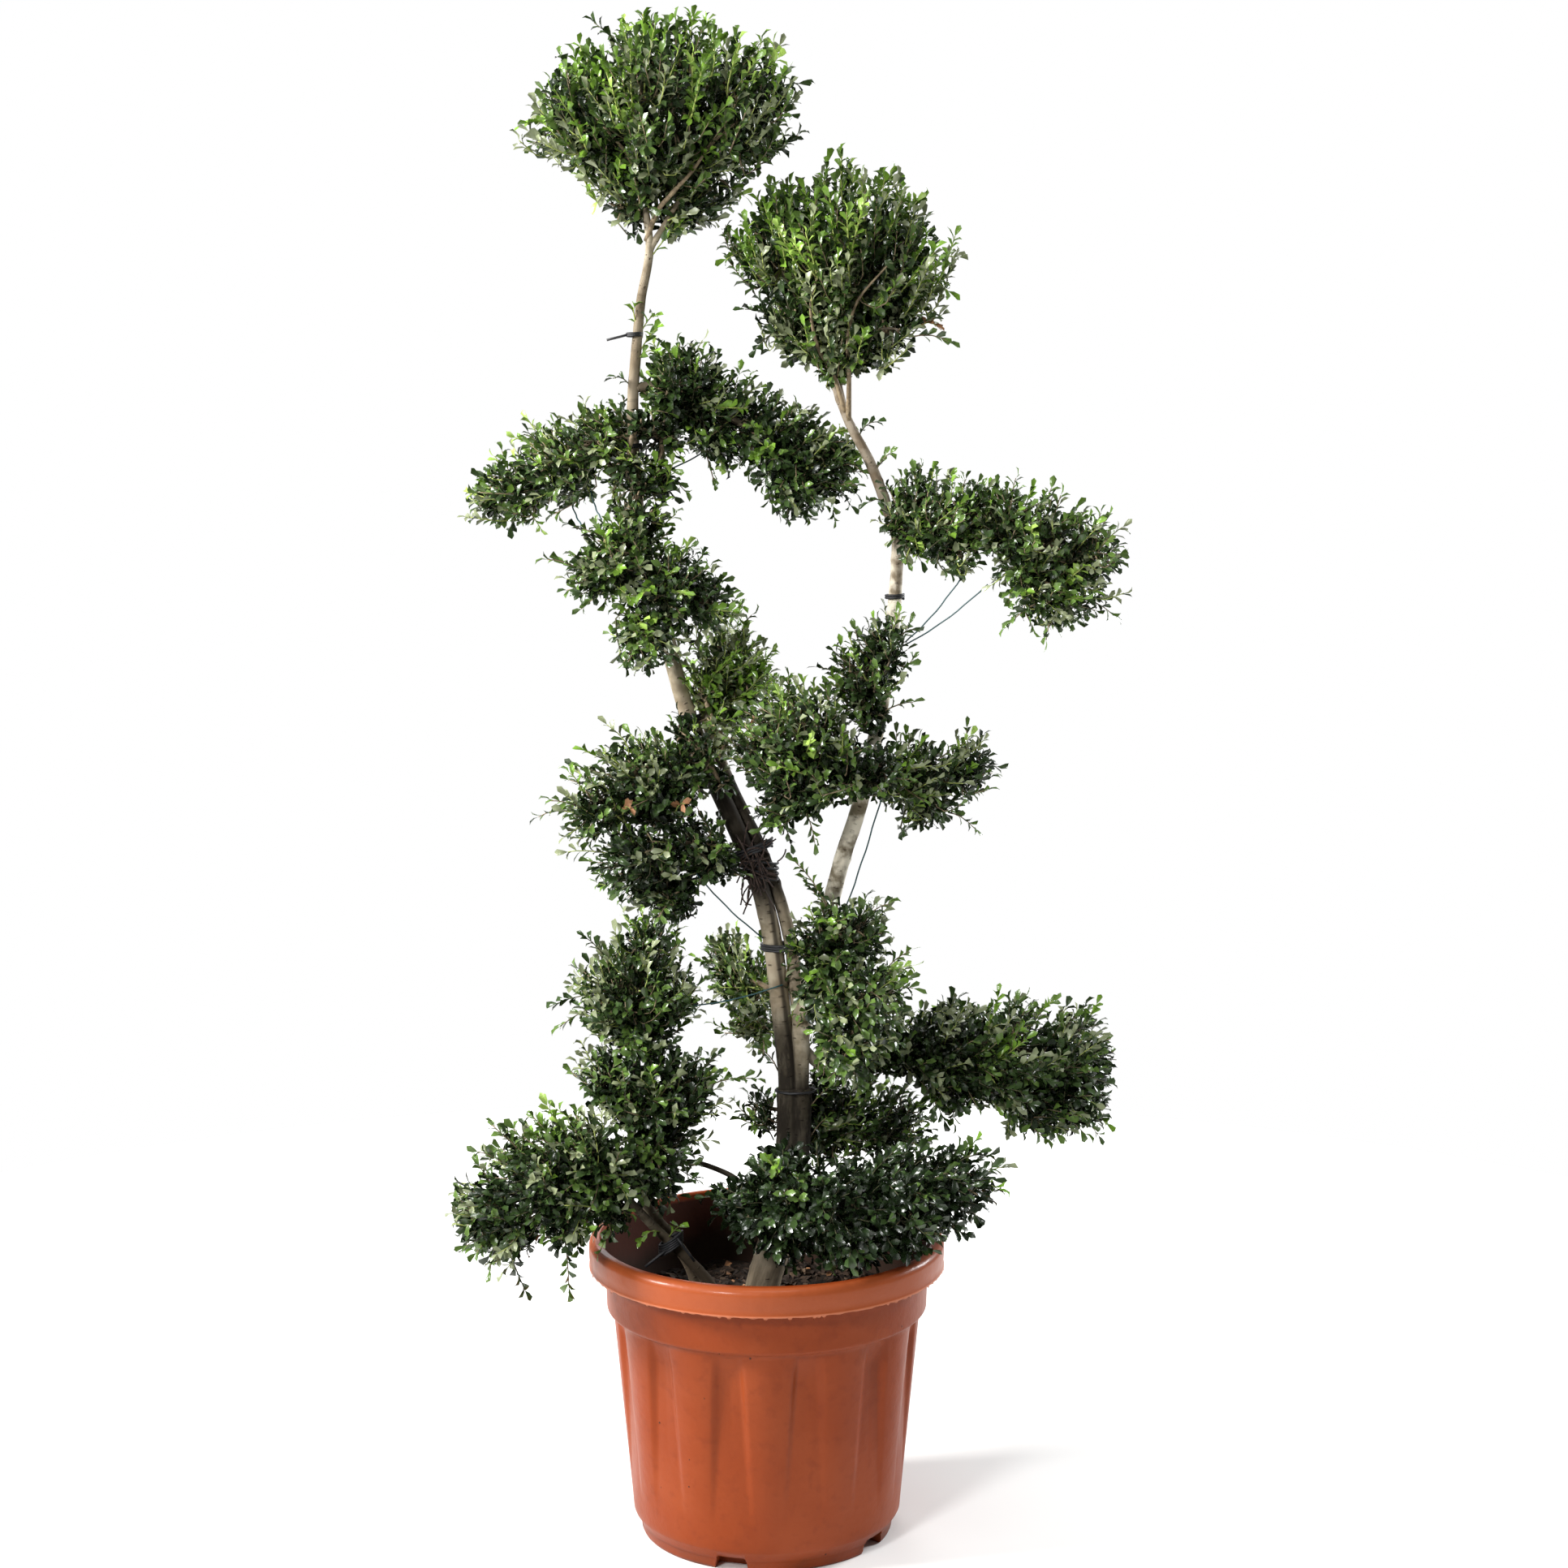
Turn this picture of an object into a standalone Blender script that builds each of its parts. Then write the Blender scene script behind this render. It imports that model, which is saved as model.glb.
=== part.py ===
"""Holly bonsai: a cloud-pruned small-leaved holly in a terracotta-coloured nursery pot.

Metres, +Z up. The origin is the middle of the pot's flat underside, and -Y is the front.
Bare stems and boughs carry clipped masses of foliage. Each mass is a dense core of round
lobes with twigs and oversized leaves standing out of it.
"""

import math
import random

import bmesh
import bpy
from mathutils import Matrix, Vector

# Clearance between neighbours that touch on the real plant
GAP = 0.0003
LIMB_CLEARANCE = 0.0004
WELD = 0.000001
FLAT_ANGLE = math.radians(0.3)

# Pot
POT_HEIGHT = 0.420
POT_STEPS = 60
RIM_RADIUS = 0.250
RIM_HEIGHT = 0.046
CREST_INNER_RADIUS = 0.232
BAND_RADIUS = 0.2270
BAND_HEIGHT = 0.057
BODY_TOP_RADIUS = 0.2165
BODY_FOOT_RADIUS = 0.1890
FOOT_HEIGHT = 0.032
FOOT_RADIUS = 0.1770
FLOOR_HEIGHT = 0.022
BODY_WALL = 0.016
FLUTES = 12
FLUTE_DEPTH = 0.009
FLUTE_CENTRE = math.radians(1)
TONGUE_HALF_TOP = math.radians(10)
TONGUE_HALF_FOOT = math.radians(4)
NOTCHES = 5
NOTCH_CENTRE = math.radians(-15.5)
NOTCH_SIZE = (0.040, 0.050, 0.030)

# Soil
SOIL_TOP = 0.330

# Foliage
CORE_SHARE = 0.86
LOBE_SIDES = 7
LOBE_RINGS = 4
FURTHEST_SHARE = 1.42
SPACE_MARGIN = 0.05
LEAF_LENGTHS = (0.030, 0.052)
LEAF_WIDTH_SHARE = 0.50
LEAF_THICKNESS_SHARE = 0.055
LEAF_SINK = 0.0025
LEAF_SPREAD = math.radians(52)
TWIG_RADII = (0.0034, 0.0026)
LEAST_TWIGS = 2
TWIGS_PER_AREA = 120
STEM_RADII = (0.0060, 0.0040)
STEM_SIDES = 5
LIMB_MARGIN = 0.004
LIMB_STEP = 0.045

# Bare limbs: the centreline, the radius at each end, how late they taper, and the limbs
# they start from or pass close to
LIMBS = {
    "trunk": dict(
        path=[(-0.006, 0, 0.30), (-0.005, 0, 0.35), (0.008, 0, 0.41), (0.027, 0, 0.49), (0.038, 0, 0.55),
              (0.039, 0, 0.64)],
        radii=(0.037, 0.024), taper=0.35, sides=10, clear_of=[]),
    "left_stem": dict(
        path=[(0.030, 0, 0.60), (0.030, 0, 0.65), (0.023, 0, 0.72), (0.010, 0, 0.835), (-0.006, 0, 0.91),
              (-0.034, 0, 0.985), (-0.067, 0, 1.06), (-0.105, 0, 1.155), (-0.127, 0, 1.23), (-0.141, 0, 1.295),
              (-0.170, 0, 1.405), (-0.178, 0, 1.50), (-0.180, 0, 1.58), (-0.176, 0, 1.64), (-0.168, 0, 1.72),
              (-0.156, 0, 1.79), (-0.163, 0, 1.855)],
        radii=(0.013, 0.0045), taper=1.7, sides=8, clear_of=["trunk"]),
    "right_stem": dict(
        path=[(0.046, 0, 0.60), (0.046, 0, 0.65), (0.047, 0, 0.69), (0.049, 0, 0.745)],
        radii=(0.014, 0.0125), taper=1, sides=8, clear_of=["trunk", "left_stem"]),
    "twin_stem": dict(
        path=[(0.047, 0.002, 0.72), (0.040, 0.008, 0.79), (0.035, 0.010, 0.84), (0.018, 0.012, 0.905),
              (-0.011, 0.014, 0.985), (-0.046, 0.014, 1.06), (-0.080, 0.013, 1.145), (-0.090, 0.016, 1.19)],
        radii=(0.0090, 0.0060), taper=1, sides=6, clear_of=["right_stem", "left_stem"]),
    "right_leader": dict(
        path=[(0.050, 0, 0.72), (0.060, 0, 0.79), (0.079, 0, 0.86), (0.097, 0, 0.93), (0.108, 0, 0.97),
              (0.130, 0, 1.04), (0.152, 0, 1.14), (0.170, 0, 1.25), (0.174, 0, 1.30), (0.179, 0, 1.395),
              (0.166, 0, 1.44), (0.141, 0, 1.505), (0.112, 0.01, 1.56), (0.090, 0.02, 1.62)],
        radii=(0.0120, 0.0055), taper=1.7, sides=8, clear_of=["right_stem", "twin_stem"]),
    "crown_fork": dict(
        path=[(-0.159, 0, 1.775), (-0.152, 0, 1.795), (-0.133, 0, 1.825), (-0.102, -0.01, 1.875)],
        radii=(0.0048, 0.0035), taper=1, sides=6, clear_of=["left_stem"]),
    "right_arm": dict(
        path=[(0.179, 0, 1.39), (0.212, -0.015, 1.405), (0.270, -0.045, 1.405), (0.335, -0.070, 1.395)],
        radii=(0.0075, 0.0050), taper=1, sides=6, clear_of=["right_leader"]),
    "arch_bough": dict(
        path=[(-0.177, 0, 1.605), (-0.142, 0.02, 1.606), (-0.082, 0.05, 1.582), (-0.030, 0.052, 1.553), (-0.002, 0.05, 1.537)],
        radii=(0.0065, 0.0045), taper=1, sides=6, clear_of=["left_stem"]),
    "low_right_bough": dict(
        path=[(0.048, 0, 0.695), (0.080, 0.02, 0.660), (0.125, 0.035, 0.648), (0.200, 0.050, 0.664)],
        radii=(0.0080, 0.0055), taper=1, sides=6, clear_of=["right_stem"]),
    "column_stem": dict(
        path=[(-0.098, 0.032, 0.31), (-0.105, 0.03, 0.36), (-0.132, 0.02, 0.41), (-0.165, 0, 0.46),
              (-0.182, -0.01, 0.515), (-0.185, -0.02, 0.58), (-0.180, -0.02, 0.65), (-0.182, -0.02, 0.724)],
        radii=(0.0095, 0.0050), taper=1, sides=6, clear_of=[]),
    "low_left_stem": dict(
        path=[(-0.068, -0.005, 0.31), (-0.078, -0.01, 0.35), (-0.108, -0.03, 0.395), (-0.150, -0.055, 0.445),
              (-0.190, -0.085, 0.50), (-0.216, -0.095, 0.54)],
        radii=(0.0085, 0.0050), taper=1, sides=6, clear_of=["column_stem"]),
    "link_bough": dict(
        path=[(0.022, 0, 0.465), (0, 0, 0.478), (-0.030, -0.005, 0.496), (-0.052, -0.01, 0.513),
              (-0.085, -0.01, 0.527), (-0.112, -0.015, 0.535)],
        radii=(0.0034, 0.0028), taper=1, sides=6, clear_of=["trunk"]),
    "front_bough": dict(
        path=[(0.034, 0, 0.520), (0.042, -0.040, 0.538), (0.045, -0.080, 0.534)],
        radii=(0.0075, 0.0055), taper=1, sides=6, clear_of=["trunk"]),
}

# Foliage masses: the limb each grows from, at a height on it or at its tip, how deep the mass
# is for its width, and its lobes as centre and reach
MASSES = {
    "crown_left": dict(limb="left_stem", at="tip", depth=1.35, lobes=[
        (-0.150, 0, 1.905, 0.062), (-0.130, 0, 1.990, 0.120), (-0.240, 0.02, 1.995, 0.080),
        (-0.025, -0.02, 1.990, 0.082), (-0.080, 0, 1.885, 0.066)]),
    "crown_right": dict(limb="right_leader", at="tip", depth=1.35, lobes=[
        (0.098, 0.02, 1.690, 0.070), (0.105, 0.02, 1.785, 0.118), (0.025, 0.03, 1.800, 0.085),
        (0.182, 0, 1.785, 0.085), (0.190, -0.02, 1.680, 0.052)]),
    "pad_right_inner": dict(limb="right_leader", at=1.425, depth=1.25, lobes=[
        (0.205, -0.01, 1.455, 0.046), (0.258, -0.05, 1.435, 0.062)]),
    "pad_right_outer": dict(limb="right_arm", at="tip", depth=1.2, lobes=[
        (0.375, -0.08, 1.400, 0.078), (0.432, -0.10, 1.380, 0.060), (0.388, -0.09, 1.335, 0.068)]),
    "arch_inner": dict(limb="arch_bough", at=1.595, depth=1.2, lobes=[
        (-0.112, 0.05, 1.610, 0.062), (-0.056, 0.06, 1.568, 0.060)]),
    "arch_outer": dict(limb="arch_bough", at="tip", depth=1.2, lobes=[
        (0.028, 0.05, 1.522, 0.068), (0.074, 0.03, 1.495, 0.062), (0.040, 0.03, 1.465, 0.050)]),
    "pad_upper_left": dict(limb="left_stem", at=1.545, depth=1.25, lobes=[
        (-0.228, 0.02, 1.535, 0.054), (-0.288, 0.05, 1.500, 0.061), (-0.350, 0.08, 1.465, 0.056),
        (-0.387, 0.09, 1.450, 0.037)]),
    "pad_mid_left": dict(limb="left_stem", at=1.395, depth=1.2, lobes=[
        (-0.196, -0.06, 1.378, 0.066), (-0.170, -0.03, 1.430, 0.046), (-0.130, -0.07, 1.340, 0.064),
        (-0.080, -0.06, 1.318, 0.046), (-0.162, -0.06, 1.275, 0.052)]),
    "pad_mid_inner": dict(limb="twin_stem", at="tip", depth=1.2, lobes=[
        (-0.052, 0.03, 1.242, 0.056), (-0.046, 0.03, 1.178, 0.052)]),
    "pad_centre": dict(limb="right_leader", at=1.060, depth=1.2, lobes=[
        (0.100, -0.05, 1.105, 0.062), (0.040, -0.08, 1.155, 0.070), (0.034, -0.07, 1.085, 0.070)]),
    "pad_centre_top": dict(limb="right_leader", at=1.190, depth=1.2, lobes=[
        (0.128, -0.04, 1.215, 0.055), (0.160, -0.04, 1.262, 0.048)]),
    "pad_centre_right": dict(limb="right_leader", at=1.090, depth=1.2, lobes=[
        (0.222, 0.06, 1.065, 0.068), (0.280, 0.09, 1.075, 0.050), (0.235, 0.07, 1.015, 0.048)]),
    "pad_left_high": dict(limb="left_stem", at=1.080, depth=1.2, lobes=[
        (-0.125, -0.05, 1.088, 0.060), (-0.178, -0.07, 1.090, 0.066), (-0.230, -0.09, 1.048, 0.054)]),
    "pad_left_low": dict(limb="left_stem", at=0.960, depth=1.2, lobes=[
        (-0.100, -0.05, 0.985, 0.058), (-0.174, -0.08, 0.980, 0.068), (-0.135, -0.07, 0.920, 0.048)]),
    "pad_behind": dict(limb="left_stem", at=0.765, depth=1.2, lobes=[
        (-0.035, 0.11, 0.770, 0.056), (-0.062, 0.14, 0.800, 0.046), (-0.022, 0.13, 0.705, 0.042)]),
    "pad_middle": dict(limb="right_leader", at=0.835, depth=1.2, lobes=[
        (0.112, -0.06, 0.865, 0.062), (0.130, -0.07, 0.785, 0.072), (0.115, -0.07, 0.712, 0.054)]),
    "pad_low_right": dict(limb="low_right_bough", at="tip", depth=1.25, lobes=[
        (0.252, 0.06, 0.680, 0.070), (0.342, 0.09, 0.662, 0.088), (0.432, 0.11, 0.635, 0.080)]),
    "column_top": dict(limb="column_stem", at="tip", depth=1.2, lobes=[
        (-0.190, -0.02, 0.778, 0.078), (-0.162, -0.02, 0.840, 0.052)]),
    "column_foot": dict(limb="column_stem", at=0.575, depth=1.2, lobes=[
        (-0.165, -0.02, 0.640, 0.080), (-0.115, -0.02, 0.640, 0.056), (-0.150, -0.03, 0.556, 0.062)]),
    "pad_low_left": dict(limb="low_left_stem", at="tip", depth=1.25, lobes=[
        (-0.250, -0.11, 0.565, 0.066), (-0.315, -0.13, 0.540, 0.074), (-0.380, -0.15, 0.500, 0.060),
        (-0.275, -0.14, 0.492, 0.050)]),
    "pad_low_front": dict(limb="front_bough", at="tip", depth=1.25, lobes=[
        (0.035, -0.12, 0.510, 0.066), (0.100, -0.15, 0.502, 0.074), (0.185, -0.14, 0.515, 0.076),
        (0.262, -0.12, 0.525, 0.060)]),
    "pad_low_back": dict(limb="trunk", at=0.545, depth=1.2, lobes=[
        (0.110, 0.11, 0.565, 0.070), (0.190, 0.13, 0.550, 0.058)]),
}


def clear_scene():
    for obj in list(bpy.data.objects):
        bpy.data.objects.remove(obj, do_unlink=True)


def new_collection(name):
    collection = bpy.data.collections.new(name)
    bpy.context.scene.collection.children.link(collection)
    return collection


def new_material(name, colour, roughness):
    material = bpy.data.materials.new(name)
    material.use_nodes = True
    shader = material.node_tree.nodes["Principled BSDF"]
    shader.inputs["Base Color"].default_value = (*colour, 1)
    shader.inputs["Roughness"].default_value = roughness
    shader.inputs["Metallic"].default_value = 0
    return material


def new_object(name, mesh, collection):
    obj = bpy.data.objects.new(name, mesh)
    collection.objects.link(obj)
    return obj


def helper_object(name, mesh, collection):
    obj = new_object(name, mesh, collection)
    obj.hide_render = True
    obj.display_type = "WIRE"
    return obj


def remove_object(obj):
    mesh = obj.data
    bpy.data.objects.remove(obj, do_unlink=True)
    if mesh is not None and mesh.users == 0 and isinstance(mesh, bpy.types.Mesh):
        bpy.data.meshes.remove(mesh)


def evaluated_mesh(obj):
    bpy.context.view_layer.update()
    graph = bpy.context.evaluated_depsgraph_get()
    return bpy.data.meshes.new_from_object(obj.evaluated_get(graph))


def apply_modifiers(obj):
    mesh = evaluated_mesh(obj)
    obj.modifiers.clear()
    obj.data = mesh


def keep_largest_body(mesh):
    """Welds the seams of a Boolean, and drops loose scraps and sealed hollows."""
    shape = bmesh.new()
    shape.from_mesh(mesh)
    bmesh.ops.remove_doubles(shape, verts=shape.verts, dist=WELD)
    bmesh.ops.dissolve_limit(shape, angle_limit=FLAT_ANGLE, verts=shape.verts, edges=shape.edges)
    bmesh.ops.triangulate(shape, faces=shape.faces)
    unseen = set(shape.verts)
    bodies = []
    while unseen:
        body = {unseen.pop()}
        front = list(body)
        while front:
            for edge in front.pop().link_edges:
                for vert in edge.verts:
                    if vert in unseen:
                        unseen.discard(vert)
                        body.add(vert)
                        front.append(vert)
        bodies.append(body)
    largest = max(bodies, key=len)
    scraps = [vert for vert in shape.verts if vert not in largest]
    bmesh.ops.delete(shape, geom=scraps, context="VERTS")
    shape.to_mesh(mesh)
    shape.free()


def smooth_path(points, spacing):
    """A Catmull-Rom curve through the points, sampled about every spacing."""
    points = [Vector(p) for p in points]
    ends = [2 * points[0] - points[1]] + points + [2 * points[-1] - points[-2]]
    samples = []
    for a, b, c, d in zip(ends, ends[1:], ends[2:], ends[3:]):
        count = max(1, round((c - b).length / spacing))
        for i in range(count):
            t = i / count
            bend = (2 * a - 5 * b + 4 * c - d) * t ** 2 + (3 * b - a - 3 * c + d) * t ** 3
            samples.append(0.5 * (2 * b + (c - a) * t + bend))
    samples.append(points[-1])
    return samples


def limb_shape(limb):
    """The smoothed centreline of a limb, and its radius at each point."""
    base, tip = limb["radii"]
    path = smooth_path(limb["path"], spacing=max(LIMB_STEP, 2 * base))
    lengths = [0]
    for start, end in zip(path, path[1:]):
        lengths.append(lengths[-1] + (end - start).length)
    radii = [base + (tip - base) * (length / lengths[-1]) ** limb["taper"] for length in lengths]
    return path, radii


def tube_mesh(path, radii, sides):
    """A closed tube with flat ends, made from a bevelled curve."""
    curve = bpy.data.curves.new("tube", "CURVE")
    curve.dimensions = "3D"
    curve.bevel_depth = 1
    curve.bevel_resolution = (sides - 4) // 2
    curve.use_fill_caps = True
    spline = curve.splines.new("POLY")
    spline.points.add(len(path) - 1)
    for point, place, radius in zip(spline.points, path, radii):
        point.co = (*place, 1)
        point.radius = radius
    obj = bpy.data.objects.new("tube", curve)
    bpy.context.scene.collection.objects.link(obj)
    mesh = evaluated_mesh(obj)
    bpy.data.objects.remove(obj, do_unlink=True)
    bpy.data.curves.remove(curve)
    shape = bmesh.new()
    shape.from_mesh(mesh)
    bmesh.ops.remove_doubles(shape, verts=shape.verts, dist=WELD)
    bmesh.ops.recalc_face_normals(shape, faces=shape.faces)
    shape.to_mesh(mesh)
    shape.free()
    return mesh


def clearance_mesh(path, radii, sides):
    """The limb's own shape, larger all round by the clearance its neighbours keep."""
    first = (path[0] - path[1]).normalized() * LIMB_CLEARANCE
    last = (path[-1] - path[-2]).normalized() * LIMB_CLEARANCE
    longer = [path[0] + first] + path[1:-1] + [path[-1] + last]
    return tube_mesh(longer, [radius + LIMB_CLEARANCE for radius in radii], sides)


def add_boolean(obj, operation, operand, solver="EXACT"):
    modifier = obj.modifiers.new(operation.lower(), "BOOLEAN")
    modifier.operation = operation
    modifier.solver = solver
    if isinstance(operand, bpy.types.Collection):
        modifier.operand_type = "COLLECTION"
        modifier.collection = operand
    else:
        modifier.object = operand


def inner_wall():
    """The inside of the pot, from the floor up, as radius and height."""
    band_foot = POT_HEIGHT - RIM_HEIGHT - BAND_HEIGHT
    return [
        (BODY_FOOT_RADIUS - BODY_WALL, FLOOR_HEIGHT),
        (BODY_TOP_RADIUS - BODY_WALL, band_foot),
        (BAND_RADIUS - 0.0075, band_foot + 0.016),
        (CREST_INNER_RADIUS - 0.003, POT_HEIGHT - 0.020),
    ]


def pot_profile():
    """The pot's section, up the inside and down the outside."""
    lip = POT_HEIGHT - RIM_HEIGHT
    band_foot = lip - BAND_HEIGHT
    crest = [
        (CREST_INNER_RADIUS, POT_HEIGHT - 0.003),
        (CREST_INNER_RADIUS + 0.004, POT_HEIGHT),
        (RIM_RADIUS - 0.007, POT_HEIGHT - 0.001),
        (RIM_RADIUS - 0.001, POT_HEIGHT - 0.009),
        (RIM_RADIUS, POT_HEIGHT - 0.020),
        (RIM_RADIUS - 0.001, lip - 0.001),
    ]
    band = [
        (BAND_RADIUS + 0.001, lip),
        (BAND_RADIUS - 0.002, band_foot + 0.009),
        (BAND_RADIUS - 0.005, band_foot + 0.002),
    ]
    body = [(body_radius(share), body_height(share)) for share in (0, 0.4, 0.8, 1)]
    foot = [(FOOT_RADIUS + 0.002, 0.014), (FOOT_RADIUS, 0)]
    return [(0, FLOOR_HEIGHT)] + inner_wall() + crest + band + body + foot + [(0, 0)]


def body_radius(share):
    """The fluted body's radius, from its top at 0 to its foot at 1."""
    return BODY_TOP_RADIUS + (BODY_FOOT_RADIUS - BODY_TOP_RADIUS) * share


def body_height(share):
    top = POT_HEIGHT - RIM_HEIGHT - BAND_HEIGHT
    return top + (FOOT_HEIGHT - top) * share


def flute_recess(angle, share):
    """How far the groove between two tongues is set back, at an angle from the front."""
    pitch = 2 * math.pi / FLUTES
    aside = abs((angle - FLUTE_CENTRE + pitch / 2) % pitch - pitch / 2)
    tongue = TONGUE_HALF_TOP + (TONGUE_HALF_FOOT - TONGUE_HALF_TOP) * share
    into_groove = max(0, aside - tongue) / (pitch / 2 - tongue)
    return FLUTE_DEPTH * min(1, 2 * into_groove) * max(0, 1 - share / 0.85)


def turned_mesh(profile, steps):
    """A profile of radius and height, turned about Z."""
    mesh = bpy.data.meshes.new("profile")
    edges = [(i, i + 1) for i in range(len(profile) - 1)]
    mesh.from_pydata([(r, 0, z) for r, z in profile], edges, [])
    obj = new_object("profile", mesh, bpy.context.scene.collection)
    screw = obj.modifiers.new("turn", "SCREW")
    screw.axis = "Z"
    screw.steps = steps
    screw.render_steps = steps
    screw.use_merge_vertices = True
    screw.merge_threshold = 0.00001
    turned = evaluated_mesh(obj)
    remove_object(obj)
    return turned


def make_pot(parts, cutters, material):
    mesh = turned_mesh(pot_profile(), POT_STEPS)
    mesh.transform(Matrix.Rotation(FLUTE_CENTRE, 4, "Z"))
    rings = {round(body_height(share), 5): share for share in (0, 0.4, 0.8)}
    for vert in mesh.vertices:
        radius = math.hypot(vert.co.x, vert.co.y)
        share = rings.get(round(vert.co.z, 5))
        if share is None or abs(radius - body_radius(share)) > 0.0005:
            continue
        recess = flute_recess(math.atan2(vert.co.x, -vert.co.y), share)
        vert.co.x *= 1 - recess / radius
        vert.co.y *= 1 - recess / radius
    pot = new_object("pot", mesh, parts)
    pot.data.materials.append(material)
    width, depth, height = NOTCH_SIZE
    for i in range(NOTCHES):
        angle = NOTCH_CENTRE + 2 * math.pi * i / NOTCHES
        shape = bmesh.new()
        bmesh.ops.create_cube(shape, size=1)
        for vert in shape.verts:
            narrowing = 1 - 0.3 * (vert.co.z + 0.5)
            vert.co = (vert.co.x * width * narrowing, vert.co.y * depth, vert.co.z * height)
        cutter_mesh = bpy.data.meshes.new("foot_notch")
        shape.to_mesh(cutter_mesh)
        shape.free()
        cutter = helper_object(f"foot_notch_{i + 1}", cutter_mesh, cutters)
        cutter.location = (FOOT_RADIUS * math.sin(angle), -FOOT_RADIUS * math.cos(angle), 0)
        cutter.rotation_euler = (0, 0, angle)
        add_boolean(pot, "DIFFERENCE", cutter)


def make_soil(parts, material):
    wall = [(r - 1.5 * GAP, z) for r, z in inner_wall()]
    below = [point for point in wall if point[1] < SOIL_TOP]
    (r0, z0), (r1, z1) = below[-1], wall[len(below)]
    top_radius = r0 + (r1 - r0) * (SOIL_TOP - z0) / (z1 - z0)
    floor = (below[0][0], FLOOR_HEIGHT + GAP)
    profile = [(0, SOIL_TOP), (top_radius, SOIL_TOP)] + below[:0:-1] + [floor, (0, floor[1])]
    soil = new_object("soil", turned_mesh(profile, POT_STEPS), parts)
    soil.data.transform(Matrix.Rotation(FLUTE_CENTRE, 4, "Z"))
    soil.data.materials.append(material)


def make_limbs(parts, cutters, material):
    """The bare limbs, each cut clear of those it starts from, and their clearance shapes."""
    clearances = {}
    ground_mesh = bpy.data.meshes.new("ground")
    shape = bmesh.new()
    below = Matrix.Translation((0, 0, SOIL_TOP + GAP - 0.25))
    bmesh.ops.create_cube(shape, size=0.5, matrix=below)
    shape.to_mesh(ground_mesh)
    shape.free()
    ground = helper_object("soil_level", ground_mesh, cutters)
    for name, limb in LIMBS.items():
        path, radii = limb_shape(limb)
        obj = new_object(name, tube_mesh(path, radii, limb["sides"]), parts)
        if path[0].z < SOIL_TOP:
            add_boolean(obj, "DIFFERENCE", ground)
        for parent in limb["clear_of"]:
            add_boolean(obj, "DIFFERENCE", clearances[parent])
        apply_modifiers(obj)
        keep_largest_body(obj.data)
        obj.data.materials.append(material)
        clearances[name] = helper_object(
            f"{name}_clearance", clearance_mesh(path, radii, limb["sides"]), cutters)
    remove_object(ground)
    return clearances


def share_of_space(mass, point):
    """How far out a point lies in a mass: 1 at the tips of its leaves."""
    return min(
        math.hypot(point[0] - x, (point[1] - y) / mass["depth"], point[2] - z) / reach
        for x, y, z, reach in mass["lobes"])


def in_own_space(name, points):
    """Whether the points keep nearer to this mass than to any other, and clear of the pot."""
    mass = MASSES[name]
    for point in points:
        own = share_of_space(mass, point)
        for other_name, other in MASSES.items():
            if other_name != name and share_of_space(other, point) < own + SPACE_MARGIN:
                return False
        from_axis = math.hypot(point[0], point[1])
        if point[2] < SOIL_TOP + 0.004 and from_axis < RIM_RADIUS + 0.004:
            return False
        in_wall = CREST_INNER_RADIUS - 0.018 < from_axis < RIM_RADIUS + 0.004
        if in_wall and point[2] < POT_HEIGHT + 0.004:
            return False
    return True


def near_a_limb(points, limb_points):
    return any(
        (point - place).length < radius + LIMB_MARGIN
        for point in points for place, radius in limb_points)


def spread_directions(count, rng):
    """Directions spread evenly over a ball, turned by a seeded angle."""
    turn = rng.uniform(0, 2 * math.pi)
    for i in range(count):
        height = 1 - (2 * i + 1) / count
        angle = turn + i * math.pi * (3 - math.sqrt(5))
        side = math.sqrt(1 - height ** 2)
        yield Vector((side * math.cos(angle), side * math.sin(angle), height))


def rod(start, end, radii, sides, collection):
    """A tapering rod between two points."""
    along = end - start
    shape = bmesh.new()
    turn = along.to_track_quat("Z", "Y").to_matrix().to_4x4()
    bmesh.ops.create_cone(
        shape, cap_ends=True, segments=sides, radius1=radii[0], radius2=radii[1], depth=along.length,
        matrix=Matrix.Translation((start + end) / 2) @ turn)
    mesh = bpy.data.meshes.new("rod")
    shape.to_mesh(mesh)
    shape.free()
    return new_object("rod", mesh, collection)


def leaf_frame(root, along, length, rng):
    """A leaf's place: root at the twig, blade along its own X, widest in the middle."""
    facing = along.cross(random_vector(rng)).normalized()
    across = facing.cross(along)
    turn = Matrix((along, across, facing)).transposed().to_4x4()
    size = Vector((1, LEAF_WIDTH_SHARE, LEAF_THICKNESS_SHARE, 1)) * (length / 2)
    size[3] = 1
    return Matrix.Translation(root + along * length / 2) @ turn @ Matrix.Diagonal(size)


def random_vector(rng):
    return Vector((rng.uniform(-1, 1), rng.uniform(-1, 1), rng.uniform(-1, 1)))


def leaf(frame, collection):
    """A leaf of eight faces."""
    shape = bmesh.new()
    bmesh.ops.create_uvsphere(shape, u_segments=4, v_segments=2, radius=1, matrix=frame)
    mesh = bpy.data.meshes.new("leaf")
    shape.to_mesh(mesh)
    shape.free()
    return new_object("leaf", mesh, collection)


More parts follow.
